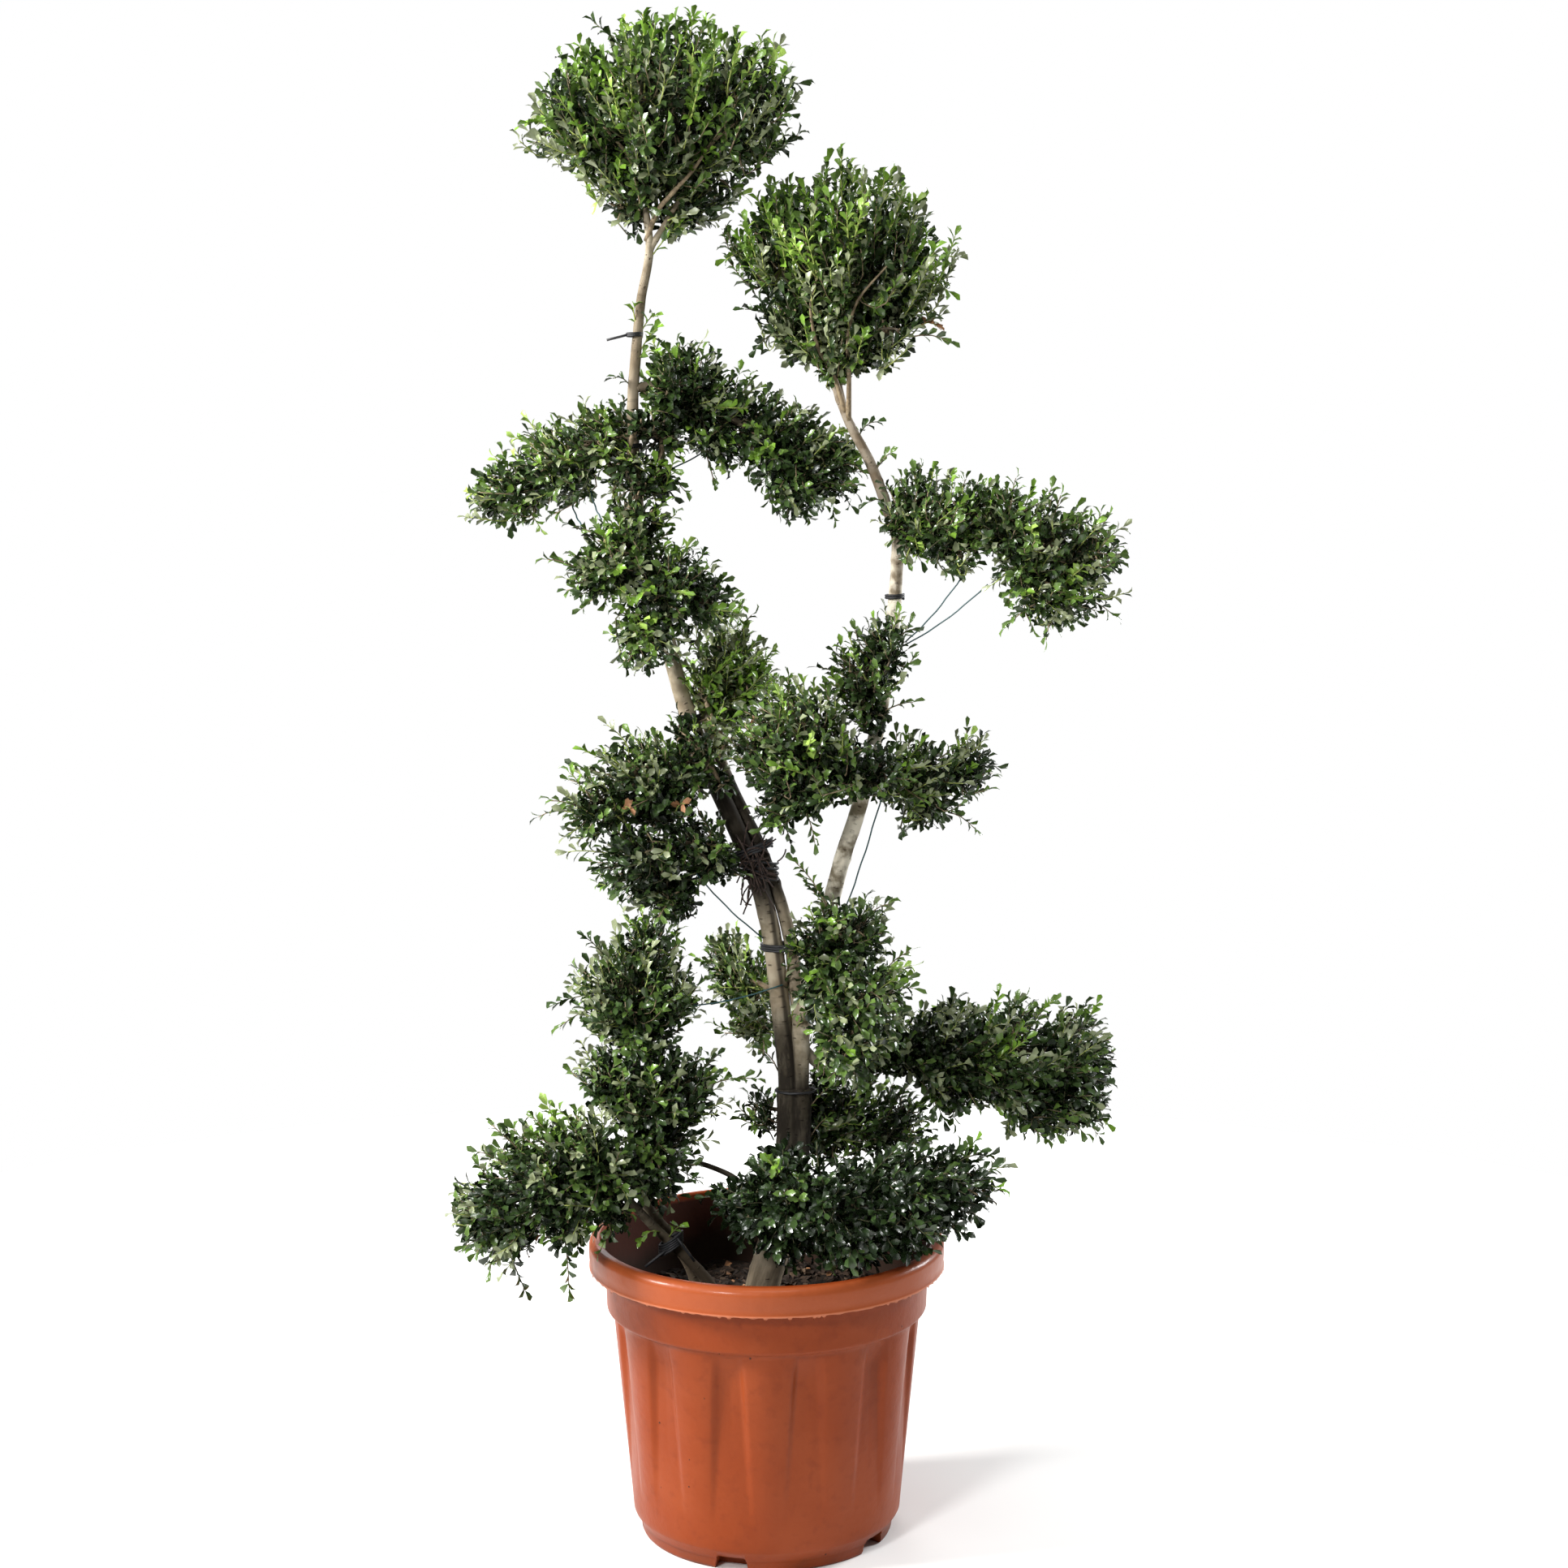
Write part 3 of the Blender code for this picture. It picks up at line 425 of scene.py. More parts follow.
def arrayMesh(name, points, faces, smooth=True):
    # Each array in faces has one face to a row
    mesh = bpy.data.meshes.new(name)
    corners = np.concatenate([rows.ravel() for rows in faces]).astype(np.int32)
    sizes = np.concatenate([np.full(len(rows), rows.shape[1]) for rows in faces])
    starts = np.concatenate([[0], np.cumsum(sizes)[:-1]]).astype(np.int32)
    mesh.vertices.add(len(points))
    mesh.loops.add(len(corners))
    mesh.polygons.add(len(sizes))
    mesh.vertices.foreach_set("co", np.asarray(points, np.float32).ravel())
    mesh.loops.foreach_set("vertex_index", corners)
    mesh.polygons.foreach_set("loop_start", starts)
    mesh.polygons.foreach_set("use_smooth", np.full(len(sizes), smooth))
    mesh.update(calc_edges=True)
    mesh.validate()
    return mesh


def addPiece(name, mesh, materials=()):
    piece = bpy.data.objects.new(name, mesh)
    bpy.context.scene.collection.objects.link(piece)
    for material in materials:
        mesh.materials.append(material)
    return piece


def handOver(piece, slot, *nodes):
    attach(piece, "root")
    if nodes:
        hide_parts(*nodes)


def evaluatedMesh(piece):
    bpy.context.view_layer.update()
    graph = bpy.context.evaluated_depsgraph_get()
    return bpy.data.meshes.new_from_object(piece.evaluated_get(graph), depsgraph=graph)


def gridFaces(rows, columns):
    # Quads between neighbouring rows of one grid of points, closed round each row
    row, column = np.meshgrid(np.arange(rows - 1), np.arange(columns), indexing="ij")
    here, above = row * columns, (row + 1) * columns
    after = (column + 1) % columns
    quads = [here + column, here + after, above + after, above + column]
    return np.stack([part.ravel() for part in quads], axis=1)


def unit(vectors):
    return vectors / np.maximum(np.linalg.norm(vectors, axis=-1, keepdims=True), 1e-9)


def turns(count):
    # Angles of equal steps round a circle
    return np.arange(count) * 2 * math.pi / count


def tubePoints(paths, radii, sides):
    # paths is tubes x steps x 3. Each ring is square to its path
    along = unit(np.gradient(paths, axis=1))
    whole = unit(paths[:, -1] - paths[:, 0])
    steep = np.abs(whole[:, 2:3]) > 0.8
    guide = np.where(steep, [[1.0, 0, 0]], [[0, 0, 1.0]])[:, None, :]
    side = unit(np.cross(along, guide))
    over = np.cross(side, along)
    angles = turns(sides)
    ring = side[:, :, None] * np.cos(angles)[:, None] + over[:, :, None] * np.sin(angles)[:, None]
    return paths[:, :, None] + ring * radii[:, :, None, None]


def tubeFaces(tubes, steps, sides):
    quads = gridFaces(steps, sides)[:, ::-1]
    first = np.arange(sides)[None]
    last = (steps - 1) * sides + np.arange(sides)[::-1][None]
    shift = (np.arange(tubes) * steps * sides)[:, None, None]
    whole = (quads[None] + shift).reshape(-1, 4)
    caps = (np.concatenate([first, last])[None] + shift).reshape(-1, sides)
    return whole, caps


# Pot

pot = {
    "height": 0.4245, "steps": 480, "rimRadius": 0.2499, "rimHeight": 0.040, "crestInner": 0.232,
    "bandRadius": 0.2270, "bandHeight": 0.063, "bandWall": 0.0075, "bandStep": 0.016, "bodyTop": 0.2165,
    "bodyFoot": 0.1890, "footHeight": 0.032, "footRadius": 0.1770, "floor": 0.022, "wall": 0.016,
    # Flutes lie between flat tongues. Shares run from the band down to the foot
    "flutes": 12, "fluteDepth": 0.0125, "fluteEdge": math.radians(3.3), "fluteCentre": math.radians(1),
    "fluteStart": 0.12, "fluteSlope": 7, "fluteEnd": 0.90, "fluteHollow": 0.20, "bodyRings": 34,
    "tongueTop": math.radians(8.7), "tongueFoot": math.radians(4.2), "tongueSwell": 0.0036,
    "notches": 5, "notchCentre": math.radians(-15.5), "notchWidth": 0.057, "notchDepth": 0.050,
    "notchHeight": 0.0200, "notchTaper": 0.30, "notchRound": 0.0015,
    "flashDrop": 0.0022, "flashScale": 22, "flashShare": 0.25, "nibs": 34, "nibLength": 0.0062,
    "nibSeed": 5, "unround": 0.0007, "unroundScale": 1.3,
}


def arcPoints(centre, size, start, end, count):
    angles = np.radians(np.linspace(start, end, count))
    return [(centre[0] + size[0] * math.cos(a), centre[1] + size[1] * math.sin(a)) for a in angles]


def bandFootHeight():
    return pot["height"] - pot["rimHeight"] - pot["bandHeight"]


def bodyProfile():
    shares = np.linspace(0, 1, pot["bodyRings"])
    radii = pot["bodyTop"] + (pot["bodyFoot"] - pot["bodyTop"]) * shares
    heights = bandFootHeight() + (pot["footHeight"] - bandFootHeight()) * shares
    return shares, list(zip(radii, heights))


def potProfile():
    # Radii and heights, up the inside, over the rim and down the outside. The small numbers round corners
    height, lip, bandFoot = pot["height"], pot["height"] - pot["rimHeight"], bandFootHeight()
    rim, band, crest = pot["rimRadius"], pot["bandRadius"], pot["crestInner"]
    innerTop, innerFoot = pot["bodyTop"] - pot["wall"], pot["bodyFoot"] - pot["wall"]
    inside = [(0, pot["floor"]), (innerFoot - 0.004, pot["floor"]), (innerFoot, pot["floor"] + 0.003)]
    inside += [(innerTop, bandFoot), (band - pot["bandWall"], bandFoot + pot["bandStep"])]
    inside += [(band - 0.0045, lip + 0.002), (crest - 0.003, height - 0.016)]
    over = arcPoints((crest + 0.0045, height - 0.0045), (0.0045, 0.0045), 180, 95, 7)
    over += arcPoints((rim - 0.0115, height - 0.0125), (0.0115, 0.0120), 88, 0, 10)
    over += [(rim, height - 0.022), (rim - 0.0004, lip + 0.012), (rim - 0.0010, lip + 0.004)]
    flash = [(rim - 0.0002, lip + 0.0016), (rim, lip + 0.0002), (rim - 0.0012, lip)]
    under = [(rim - 0.006, lip + 0.002), (band + 0.006, lip + 0.002), (band + 0.0012, lip + 0.001)]
    collar = [(band + 0.0002, lip - 0.004), (band - 0.0008, lip - 0.025), (band - 0.0018, bandFoot + 0.012)]
    step = arcPoints((band - 0.0060, bandFoot + 0.0070), (0.0042, 0.0055), 0, -62, 6)
    foot = [(0.0105, 0.0285), (0.0045, 0.0200), (0.0030, 0.0150), (0.0016, 0.0142), (0.0008, 0.0040)]
    foot = [(pot["footRadius"] + out, up) for out, up in foot + [(-0.0010, 0.0), (-0.006, 0.0)]]
    return inside, over, flash, under + collar + step, foot + [(0, 0.0)]


def smoothShare(value):
    value = np.clip(value, 0, 1)
    return value * value * (3 - 2 * value)


def fluteRecess(angles, share):
    pitch = 2 * math.pi / pot["flutes"]
    aside = np.abs((angles - pot["fluteCentre"] + pitch / 2) % pitch - pitch / 2)
    tongue = pot["tongueTop"] + (pot["tongueFoot"] - pot["tongueTop"]) * share
    into = (aside - tongue) / pot["fluteEdge"]
    # The groove runs out towards the foot, and starts under the band with a short slope
    depth = pot["fluteDepth"] * max(0.0, 1 - share / pot["fluteEnd"]) ** 0.9
    depth *= min(1.0, pot["fluteStart"] + share * pot["fluteSlope"])
    hollow = np.clip((aside - tongue) / (pitch / 2 - tongue), 0, 1)
    swell = pot["tongueSwell"] * (1 - share) * np.clip(aside / tongue, 0, 1) ** 2
    return depth * smoothShare(into) * (1 - pot["fluteHollow"] * (1 - hollow)) + swell


def makePot(material):
    inside, over, flash, outside, foot = potProfile()
    shares, body = bodyProfile()
    profile = inside + over + flash + outside + body + foot
    firstBody = len(inside + over + flash + outside)
    firstFlash = len(inside + over)
    angles = turns(pot["steps"])
    radii = np.repeat(np.array([p[0] for p in profile])[:, None], pot["steps"], axis=1)
    heights = np.repeat(np.array([p[1] for p in profile])[:, None], pot["steps"], axis=1)
    for ring, share in enumerate(shares):
        radii[firstBody + ring] -= fluteRecess(angles, share)
    # The moulding left a thin ragged flash on the lip of the rim
    around = [Vector((math.sin(a), math.cos(a), 0)) for a in angles]
    ragged = np.array([noise.noise(place * pot["flashScale"]) for place in around])
    heights[firstFlash + 1] -= np.maximum(ragged + pot["flashShare"], 0) * pot["flashDrop"]
    picks = np.random.default_rng(pot["nibSeed"])
    for spot in picks.choice(pot["steps"], pot["nibs"], replace=False):
        heights[firstFlash + 1, spot] -= pot["nibLength"] * picks.uniform(0.25, 1)
    # Thin walls are never quite round, from the lip of the rim down
    above = Vector((0, 0, 3))
    wave = np.array([noise.noise((place + above) * pot["unroundScale"]) for place in around])
    radii[firstFlash + 1:firstBody + len(shares)] += wave * pot["unround"]
    rings = np.stack([radii * np.sin(angles), -radii * np.cos(angles), heights], axis=2)
    count = len(profile)
    middle = rings[1:-1].reshape(-1, 3)
    points = np.concatenate([middle, [[0, 0, pot["floor"]], [0, 0, 0]]])
    steps = pot["steps"]
    floorPole, footPole = len(middle), len(middle) + 1
    here = np.arange(steps)
    after = (here + 1) % steps
    lastRow = (count - 3) * steps
    floorFan = np.stack([np.full(steps, floorPole), after, here], axis=1)[:, ::-1]
    footFan = np.stack([np.full(steps, footPole), lastRow + here, lastRow + after], axis=1)[:, ::-1]
    mesh = arrayMesh("pot", points, [gridFaces(count - 2, steps), floorFan, footFan])
    piece = addPiece("terracottaPot", mesh, [material])
    tidyNormals(mesh)
    cutNotches(piece)
    return piece


def tidyNormals(mesh):
    shape = bmesh.new()
    shape.from_mesh(mesh)
    bmesh.ops.recalc_face_normals(shape, faces=shape.faces)
    shape.to_mesh(mesh)
    shape.free()


def cutNotches(piece):
    shape = bmesh.new()
    for number in range(pot["notches"]):
        angle = pot["notchCentre"] + 2 * math.pi * number / pot["notches"]
        made = bmesh.ops.create_cube(shape, size=1)["verts"]
        for vert in made:
            narrow = 1 - pot["notchTaper"] * (vert.co.z + 0.5)
            aside = vert.co.x * pot["notchWidth"] * narrow
            out = pot["footRadius"] + vert.co.y * pot["notchDepth"]
            place = Vector((aside, -out, vert.co.z * 2 * pot["notchHeight"]))
            vert.co = (place.x * math.cos(angle) - place.y * math.sin(angle),
                       place.x * math.sin(angle) + place.y * math.cos(angle), place.z)
    bmesh.ops.bevel(shape, geom=shape.edges[:], offset=pot["notchRound"], segments=2, affect="EDGES")
    bmesh.ops.recalc_face_normals(shape, faces=shape.faces)
    cutterMesh = bpy.data.meshes.new("notches")
    shape.to_mesh(cutterMesh)
    shape.free()
    cutter = bpy.data.objects.new("notches", cutterMesh)
    bpy.context.scene.collection.objects.link(cutter)
    cut = piece.modifiers.new("cut", "BOOLEAN")
    cut.operation = "DIFFERENCE"
    cut.solver = "MANIFOLD"
    cut.object = cutter
    mesh = evaluatedMesh(piece)
    piece.modifiers.clear()
    piece.data = mesh
    bpy.data.objects.remove(cutter, do_unlink=True)


# Soil, with bark chips and litter scattered over it by geometry nodes

soil = {
    "top": 0.330, "rings": 60, "steps": 200, "lump": 0.0075, "lumpScale": 24, "edgeDrop": 0.004,
    "mound": 0.008, "moundPlace": -0.005, "moundSpread": 0.0045, "wallGap": 0.0012,
    "chips": dict(size=0.0125, perArea=9000, seed=14), "litter": dict(size=0.015, perArea=500, seed=19),
    # Chips and litter vary in size by these shares and lie tilted, clear of the wall
    "sizeShares": (0.35, 1.35), "tilt": 0.55, "clearOfWall": 0.019, "lowestChip": 0.035,
}


def soilHeight(x, y):
    place = Vector((x, y, 0))
    lumps = noise.fractal(place * soil["lumpScale"], 1.0, 2.0, 4) * soil["lump"]
    away = (x - soil["moundPlace"]) ** 2 + y ** 2
    mound = soil["mound"] * math.exp(-away / soil["moundSpread"])
    return soil["top"] - soil["lump"] * 0.9 + lumps + mound


def wallRadius(height):
    # The inside of the pot wall at a height
    low, high = pot["bodyTop"] - pot["wall"], pot["bandRadius"] - pot["bandWall"]
    share = min(max((height - bandFootHeight()) / pot["bandStep"], 0), 1)
    return low + (high - low) * share


def makeSoil(material, chipMaterial, litterMaterial):
    edge = wallRadius(soil["top"] - soil["edgeDrop"]) - soil["wallGap"]
    shares = np.linspace(0, 1, soil["rings"] + 1)[1:]
    angles = turns(soil["steps"])
    points = []
    for share in shares:
        for angle in angles:
            x, y = edge * share * math.sin(angle), -edge * share * math.cos(angle)
            points.append((x, y, soilHeight(x, y)))
    # A skirt down the wall and a flat bottom close the body
    steps = soil["steps"]
    low = pot["floor"] + 0.001
    lowRadius = pot["bodyFoot"] - pot["wall"] - 0.005
    skirt = [(edge - 0.014, pot["height"] - 0.120), (lowRadius, low + 0.004), (lowRadius - 0.002, low)]
    for radius, height in skirt:
        points += [(radius * math.sin(a), -radius * math.cos(a), height) for a in angles]
    rows = len(shares) + len(skirt)
    points += [(0, 0, soilHeight(0, 0)), (0, 0, low)]
    here = np.arange(steps)
    after = (here + 1) % steps
    lastRow = (rows - 1) * steps
    topFan = np.stack([np.full(steps, len(points) - 2), after, here], axis=1)
    lowFan = np.stack([np.full(steps, len(points) - 1), lastRow + here, lastRow + after], axis=1)
    mesh = arrayMesh("soil", np.array(points), [gridFaces(rows, steps), topFan, lowFan])
    tidyNormals(mesh)
    piece = addPiece("soilInPot", mesh, [material])
    chip = chipShape(chipMaterial)
    chips = scatterOnSoil("barkChips", piece, chip, soil["chips"], chipMaterial)
    litterLeaf = addPiece("litterLeaf", leafMesh(), [litterMaterial])
    litter = scatterOnSoil("leafLitter", piece, litterLeaf, soil["litter"], litterMaterial)
    for helper in (chip, litterLeaf):
        bpy.data.objects.remove(helper, do_unlink=True)
    return piece, chips, litter


def chipShape(material):
    # A flat splinter, tapered and skewed
    shape = bmesh.new()
    bmesh.ops.create_cube(shape, size=1)
    for vert in shape.verts:
        vert.co.y *= 0.55 - 0.16 * vert.co.x
        vert.co.z *= 0.20 + 0.06 * vert.co.y
        vert.co.x += 0.18 * vert.co.y
    mesh = bpy.data.meshes.new("chip")
    bmesh.ops.recalc_face_normals(shape, faces=shape.faces)
    shape.to_mesh(mesh)
    shape.free()
    return addPiece("chip", mesh, [material])


def newTree(name, inputs):
    tree = bpy.data.node_groups.new(name, "GeometryNodeTree")
    tree.interface.new_socket("Geometry", in_out="OUTPUT", socket_type="NodeSocketGeometry")
    tree.interface.new_socket("Geometry", in_out="INPUT", socket_type="NodeSocketGeometry")
    for label, kind, value in inputs:
        socket = tree.interface.new_socket(label, in_out="INPUT", socket_type=kind)
        if value is not None:
            socket.default_value = value
    maker = Maker(tree)
    start = maker.add("NodeGroupInput")
    return tree, maker, start


def runTree(piece, tree, values, name):
    # Inputs are set by the identifiers of their sockets, before the first evaluation
    modifier = piece.modifiers.new(tree.name, "NODES")
    modifier.node_group = tree
    for item in tree.interface.items_tree:
        if item.in_out == "INPUT" and item.name in values:
            modifier[item.identifier] = values[item.name]
    mesh = evaluatedMesh(piece)
    piece.modifiers.remove(modifier)
    mesh.name = name
    return mesh


def scatterOnSoil(name, ground, shape, copies, material):
    # Copies of a shape, turned and sized at random, on the top of the soil and clear of the wall
    inputs = [("Shape", "NodeSocketObject", None), ("Size", "NodeSocketFloat", 0.01),
              ("Density", "NodeSocketFloat", 1000), ("Seed", "NodeSocketInt", 1),
              ("Lowest", "NodeSocketFloat", 0.3), ("Widest", "NodeSocketFloat", 0.2)]
    tree, make, start = newTree(name, inputs)
    seedWire = start.out("Seed")
    axes = make.axes(make.add("GeometryNodeInputPosition"))
    inside = make.compare("LESS_THAN", make.fromAxis(axes), start.out("Widest"))
    onTop = make.compare("GREATER_THAN", axes.out("Z"), start.out("Lowest"))
    onTop = make.add("FunctionNodeBooleanMath", {"operation": "AND"}, {0: inside, 1: onTop})
    spread = make.add("GeometryNodeDistributePointsOnFaces", None,
                      {"Mesh": start.out("Geometry"), "Selection": onTop, "Density": start.out("Density"),
                       "Seed": seedWire})
    info = make.add("GeometryNodeObjectInfo", None, {"Object": start.out("Shape")}, out="Geometry")
    tilt = soil["tilt"]
    turn = make.add("FunctionNodeRandomValue", {"data_type": "FLOAT_VECTOR"},
                    {0: (-tilt, -tilt, 0), 1: (tilt, tilt, 6.283), "Seed": seedWire})
    grow = make.between(*soil["sizeShares"], seedWire)
    shade = make.between(0.0, 1.0, seedWire + 1)
    scale = grow * start.out("Size")
    placed = make.add("GeometryNodeInstanceOnPoints", None,
                      {"Points": spread, "Instance": info, "Rotation": turn, "Scale": scale})
    kept = make.add("GeometryNodeStoreNamedAttribute", {"data_type": "FLOAT", "domain": "INSTANCE"},
                    {"Geometry": placed, "Name": "shade", "Value": shade})
    real = make.add("GeometryNodeRealizeInstances", None, {"Geometry": kept})
    make.add("NodeGroupOutput", None, {"Geometry": setMaterials(make, real, [material], "shade")})
    values = {"Shape": shape, "Size": copies["size"], "Density": copies["perArea"],
              "Seed": copies["seed"], "Lowest": soil["top"] - soil["lowestChip"],
              "Widest": wallRadius(soil["top"]) - soil["clearOfWall"]}
    mesh = runTree(ground, tree, values, name)
    return addPiece(name, mesh)


def setMaterials(make, geometry, materials, attribute):
    # Materials are dealt out by a named number that runs from 0 to 1
    value = make.named(attribute, "FLOAT")
    for number, material in enumerate(materials):
        part = make.compare("GREATER_EQUAL", value, number / len(materials) - 0.001)
        geometry = make.add("GeometryNodeSetMaterial", None,
                            {"Geometry": geometry, "Selection": part, "Material": material})
    return geometry


# Leaves

leaf = {
    "width": 0.49, "fold": 0.42, "bend": 1.15, "lift": 0.45,
    "outline": [(0.0, 0.0), (0.34, 0.33), (0.76, 0.50), (1.0, 0.0)],
    # Leaves differ in width and bend by these shares
    "widths": (0.85, 1.15), "bends": (0.45, 1.45), "seed": 7,
}


def leafMesh():
    # One leaf of unit length along X: folded along its midrib, and bent down in an arc
    lift = leaf["bend"] * leaf["lift"]
    chord = 2 * math.sin(leaf["bend"] / 2) / leaf["bend"]
    points = []
    for place, half in leaf["outline"]:
        angle = leaf["bend"] * place
        x, z = math.sin(angle) / leaf["bend"], (math.cos(angle) - 1) / leaf["bend"]
        along = (x * math.cos(lift) - z * math.sin(lift)) / chord
        high = (x * math.sin(lift) + z * math.cos(lift)) / chord
        if half == 0:
            points.append((along, 0, high))
            continue
        aside = half * leaf["width"]
        rise = leaf["fold"] * aside
        points += [(along, -aside, high + rise), (along, 0, high), (along, aside, high + rise)]
    rows = len(leaf["outline"]) - 2
    last = len(points) - 1
    triangles = [(0, 1, 2), (0, 2, 3), (last - 3, last, last - 2), (last - 2, last, last - 1)]
    quads = []
    for row in range(rows - 1):
        for side in range(2):
            near = 1 + row * 3 + side
            quads.append((near, near + 3, near + 4, near + 1))
    return arrayMesh("leaf", np.array(points), [np.array(triangles), np.array(quads)])


# Bare limbs with the relief of their bark. Their centrelines lie close to the solids' own

limbs = {
    "trunk": dict(
        path=[(-0.014, 0, 0.30), (-0.006, 0, 0.35), (0.008, 0, 0.40), (0.026, 0, 0.48), (0.037, 0, 0.55),
              (0.039, 0, 0.64)],
        radii=(0.0225, 0.0245), taper=0.7),
    "left_stem": dict(
        path=[(0.030, 0, 0.60), (0.030, 0, 0.65), (0.023, 0, 0.72), (0.010, 0, 0.835), (-0.006, 0, 0.91),
              (-0.034, 0, 0.985), (-0.067, 0, 1.06), (-0.105, 0, 1.155), (-0.127, 0, 1.23),
              (-0.141, 0, 1.295), (-0.170, 0, 1.405), (-0.178, 0, 1.50), (-0.180, 0, 1.58),
              (-0.176, 0, 1.64), (-0.168, 0, 1.72), (-0.156, 0, 1.79), (-0.163, 0, 1.855)],
        radii=(0.0138, 0.0047), taper=1.7),
    "right_stem": dict(
        path=[(0.046, 0, 0.60), (0.046, 0, 0.65), (0.047, 0, 0.69), (0.049, 0, 0.745)],
        radii=(0.014, 0.0125), taper=1),
    "twin_stem": dict(
        path=[(0.047, 0.002, 0.72), (0.039, 0.006, 0.79), (0.034, 0.008, 0.84), (0.017, 0.010, 0.905),
              (-0.013, 0.010, 0.985), (-0.048, 0.010, 1.06), (-0.081, 0.012, 1.145), (-0.090, 0.016, 1.19)],
        radii=(0.0100, 0.0070), taper=1),
    "right_leader": dict(
        path=[(0.050, 0, 0.72), (0.060, 0, 0.79), (0.079, 0, 0.86), (0.097, 0, 0.93), (0.108, 0, 0.97),
              (0.130, 0, 1.04), (0.152, 0, 1.14), (0.170, 0, 1.25), (0.174, 0, 1.30), (0.179, 0, 1.395),
              (0.166, 0, 1.44), (0.141, 0, 1.505), (0.112, 0.01, 1.56), (0.090, 0.02, 1.62)],
        radii=(0.0120, 0.0055), taper=1.7),
    "crown_fork": dict(
        path=[(-0.159, 0, 1.775), (-0.152, 0, 1.795), (-0.133, 0, 1.825), (-0.102, -0.01, 1.875)],
        radii=(0.0048, 0.0035), taper=1),
    "right_arm": dict(
        path=[(0.179, 0, 1.39), (0.212, -0.015, 1.405), (0.270, -0.045, 1.405), (0.335, -0.070, 1.395)],
        radii=(0.0075, 0.0050), taper=1),
    "arch_bough": dict(
        path=[(-0.177, 0, 1.605), (-0.142, 0.02, 1.606), (-0.082, 0.05, 1.582), (-0.030, 0.052, 1.553),
              (-0.002, 0.05, 1.537)],
        radii=(0.0065, 0.0045), taper=1),
    "low_right_bough": dict(
        path=[(0.048, 0, 0.695), (0.080, 0.02, 0.660), (0.125, 0.035, 0.648), (0.200, 0.050, 0.664)],
        radii=(0.0080, 0.0055), taper=1),
    "column_stem": dict(
        path=[(-0.098, 0.032, 0.31), (-0.105, 0.03, 0.36), (-0.132, 0.02, 0.41), (-0.165, 0, 0.46),
              (-0.182, -0.01, 0.515), (-0.185, -0.02, 0.58), (-0.180, -0.02, 0.65), (-0.182, -0.02, 0.724)],
        radii=(0.0095, 0.0050), taper=1),
    "low_left_stem": dict(
        path=[(-0.068, -0.005, 0.31), (-0.078, -0.01, 0.35), (-0.108, -0.03, 0.395),
              (-0.150, -0.055, 0.445), (-0.190, -0.085, 0.50), (-0.216, -0.095, 0.54)],
        radii=(0.0085, 0.0050), taper=1),
    "link_bough": dict(
        path=[(0.022, 0, 0.465), (0, 0, 0.478), (-0.030, -0.005, 0.496), (-0.052, -0.01, 0.513),
              (-0.085, -0.01, 0.527), (-0.112, -0.015, 0.535)],
        radii=(0.0042, 0.0035), taper=1),
    "front_bough": dict(
        path=[(0.034, 0, 0.520), (0.042, -0.040, 0.538), (0.045, -0.080, 0.534)],
        radii=(0.0075, 0.0055), taper=1),
}

bark = {
    "step": 0.0035, "sides": 28, "thinSides": 14, "thinRadius": 0.007, "firstSeed": 40,
    "swell": 0.055, "swellScale": 38, "ripple": 0.022, "rippleScale": (260, 260, 120),
    "wartsPerMetre": 46, "wartHeight": 0.0016, "wartSpread": 0.0042, "wartSizes": (0.5, 1.25),
    "tipShares": (0.45, 0.80, 0.95), "buried": 0.016, "flareHeight": 0.045, "creaseFoot": 0.44,
    "creaseRise": 0.17, "crease": 0.30, "creaseWidth": 0.30, "flatten": 0.22,
    # Small roots at the soil: how far each kind stands out, how many there are and their turn
    "flare": 0.07, "roots": ((0.07, 3, 0.7), (0.04, 7, 0)),
}


def smoothPath(points, step):
    points = np.array(points, float)
    ends = np.concatenate([[2 * points[0] - points[1]], points, [2 * points[-1] - points[-2]]])
    samples = []
    for a, b, c, d in zip(ends, ends[1:], ends[2:], ends[3:]):
        count = max(1, round(float(np.linalg.norm(c - b)) / step))
        for number in range(count):
            t = number / count
            bend = (2 * a - 5 * b + 4 * c - d) * t ** 2 + (3 * b - a - 3 * c + d) * t ** 3
            samples.append(0.5 * (2 * b + (c - a) * t + bend))
    samples.append(points[-1])
    return np.array(samples)


def limbShape(name, step):
    limb = limbs[name]
    path = smoothPath(limb["path"], step)
    lengths = np.concatenate([[0], np.cumsum(np.linalg.norm(np.diff(path, axis=0), axis=1))])
    base, tip = limb["radii"]
    return path, base + (tip - base) * (lengths / lengths[-1]) ** limb["taper"], lengths


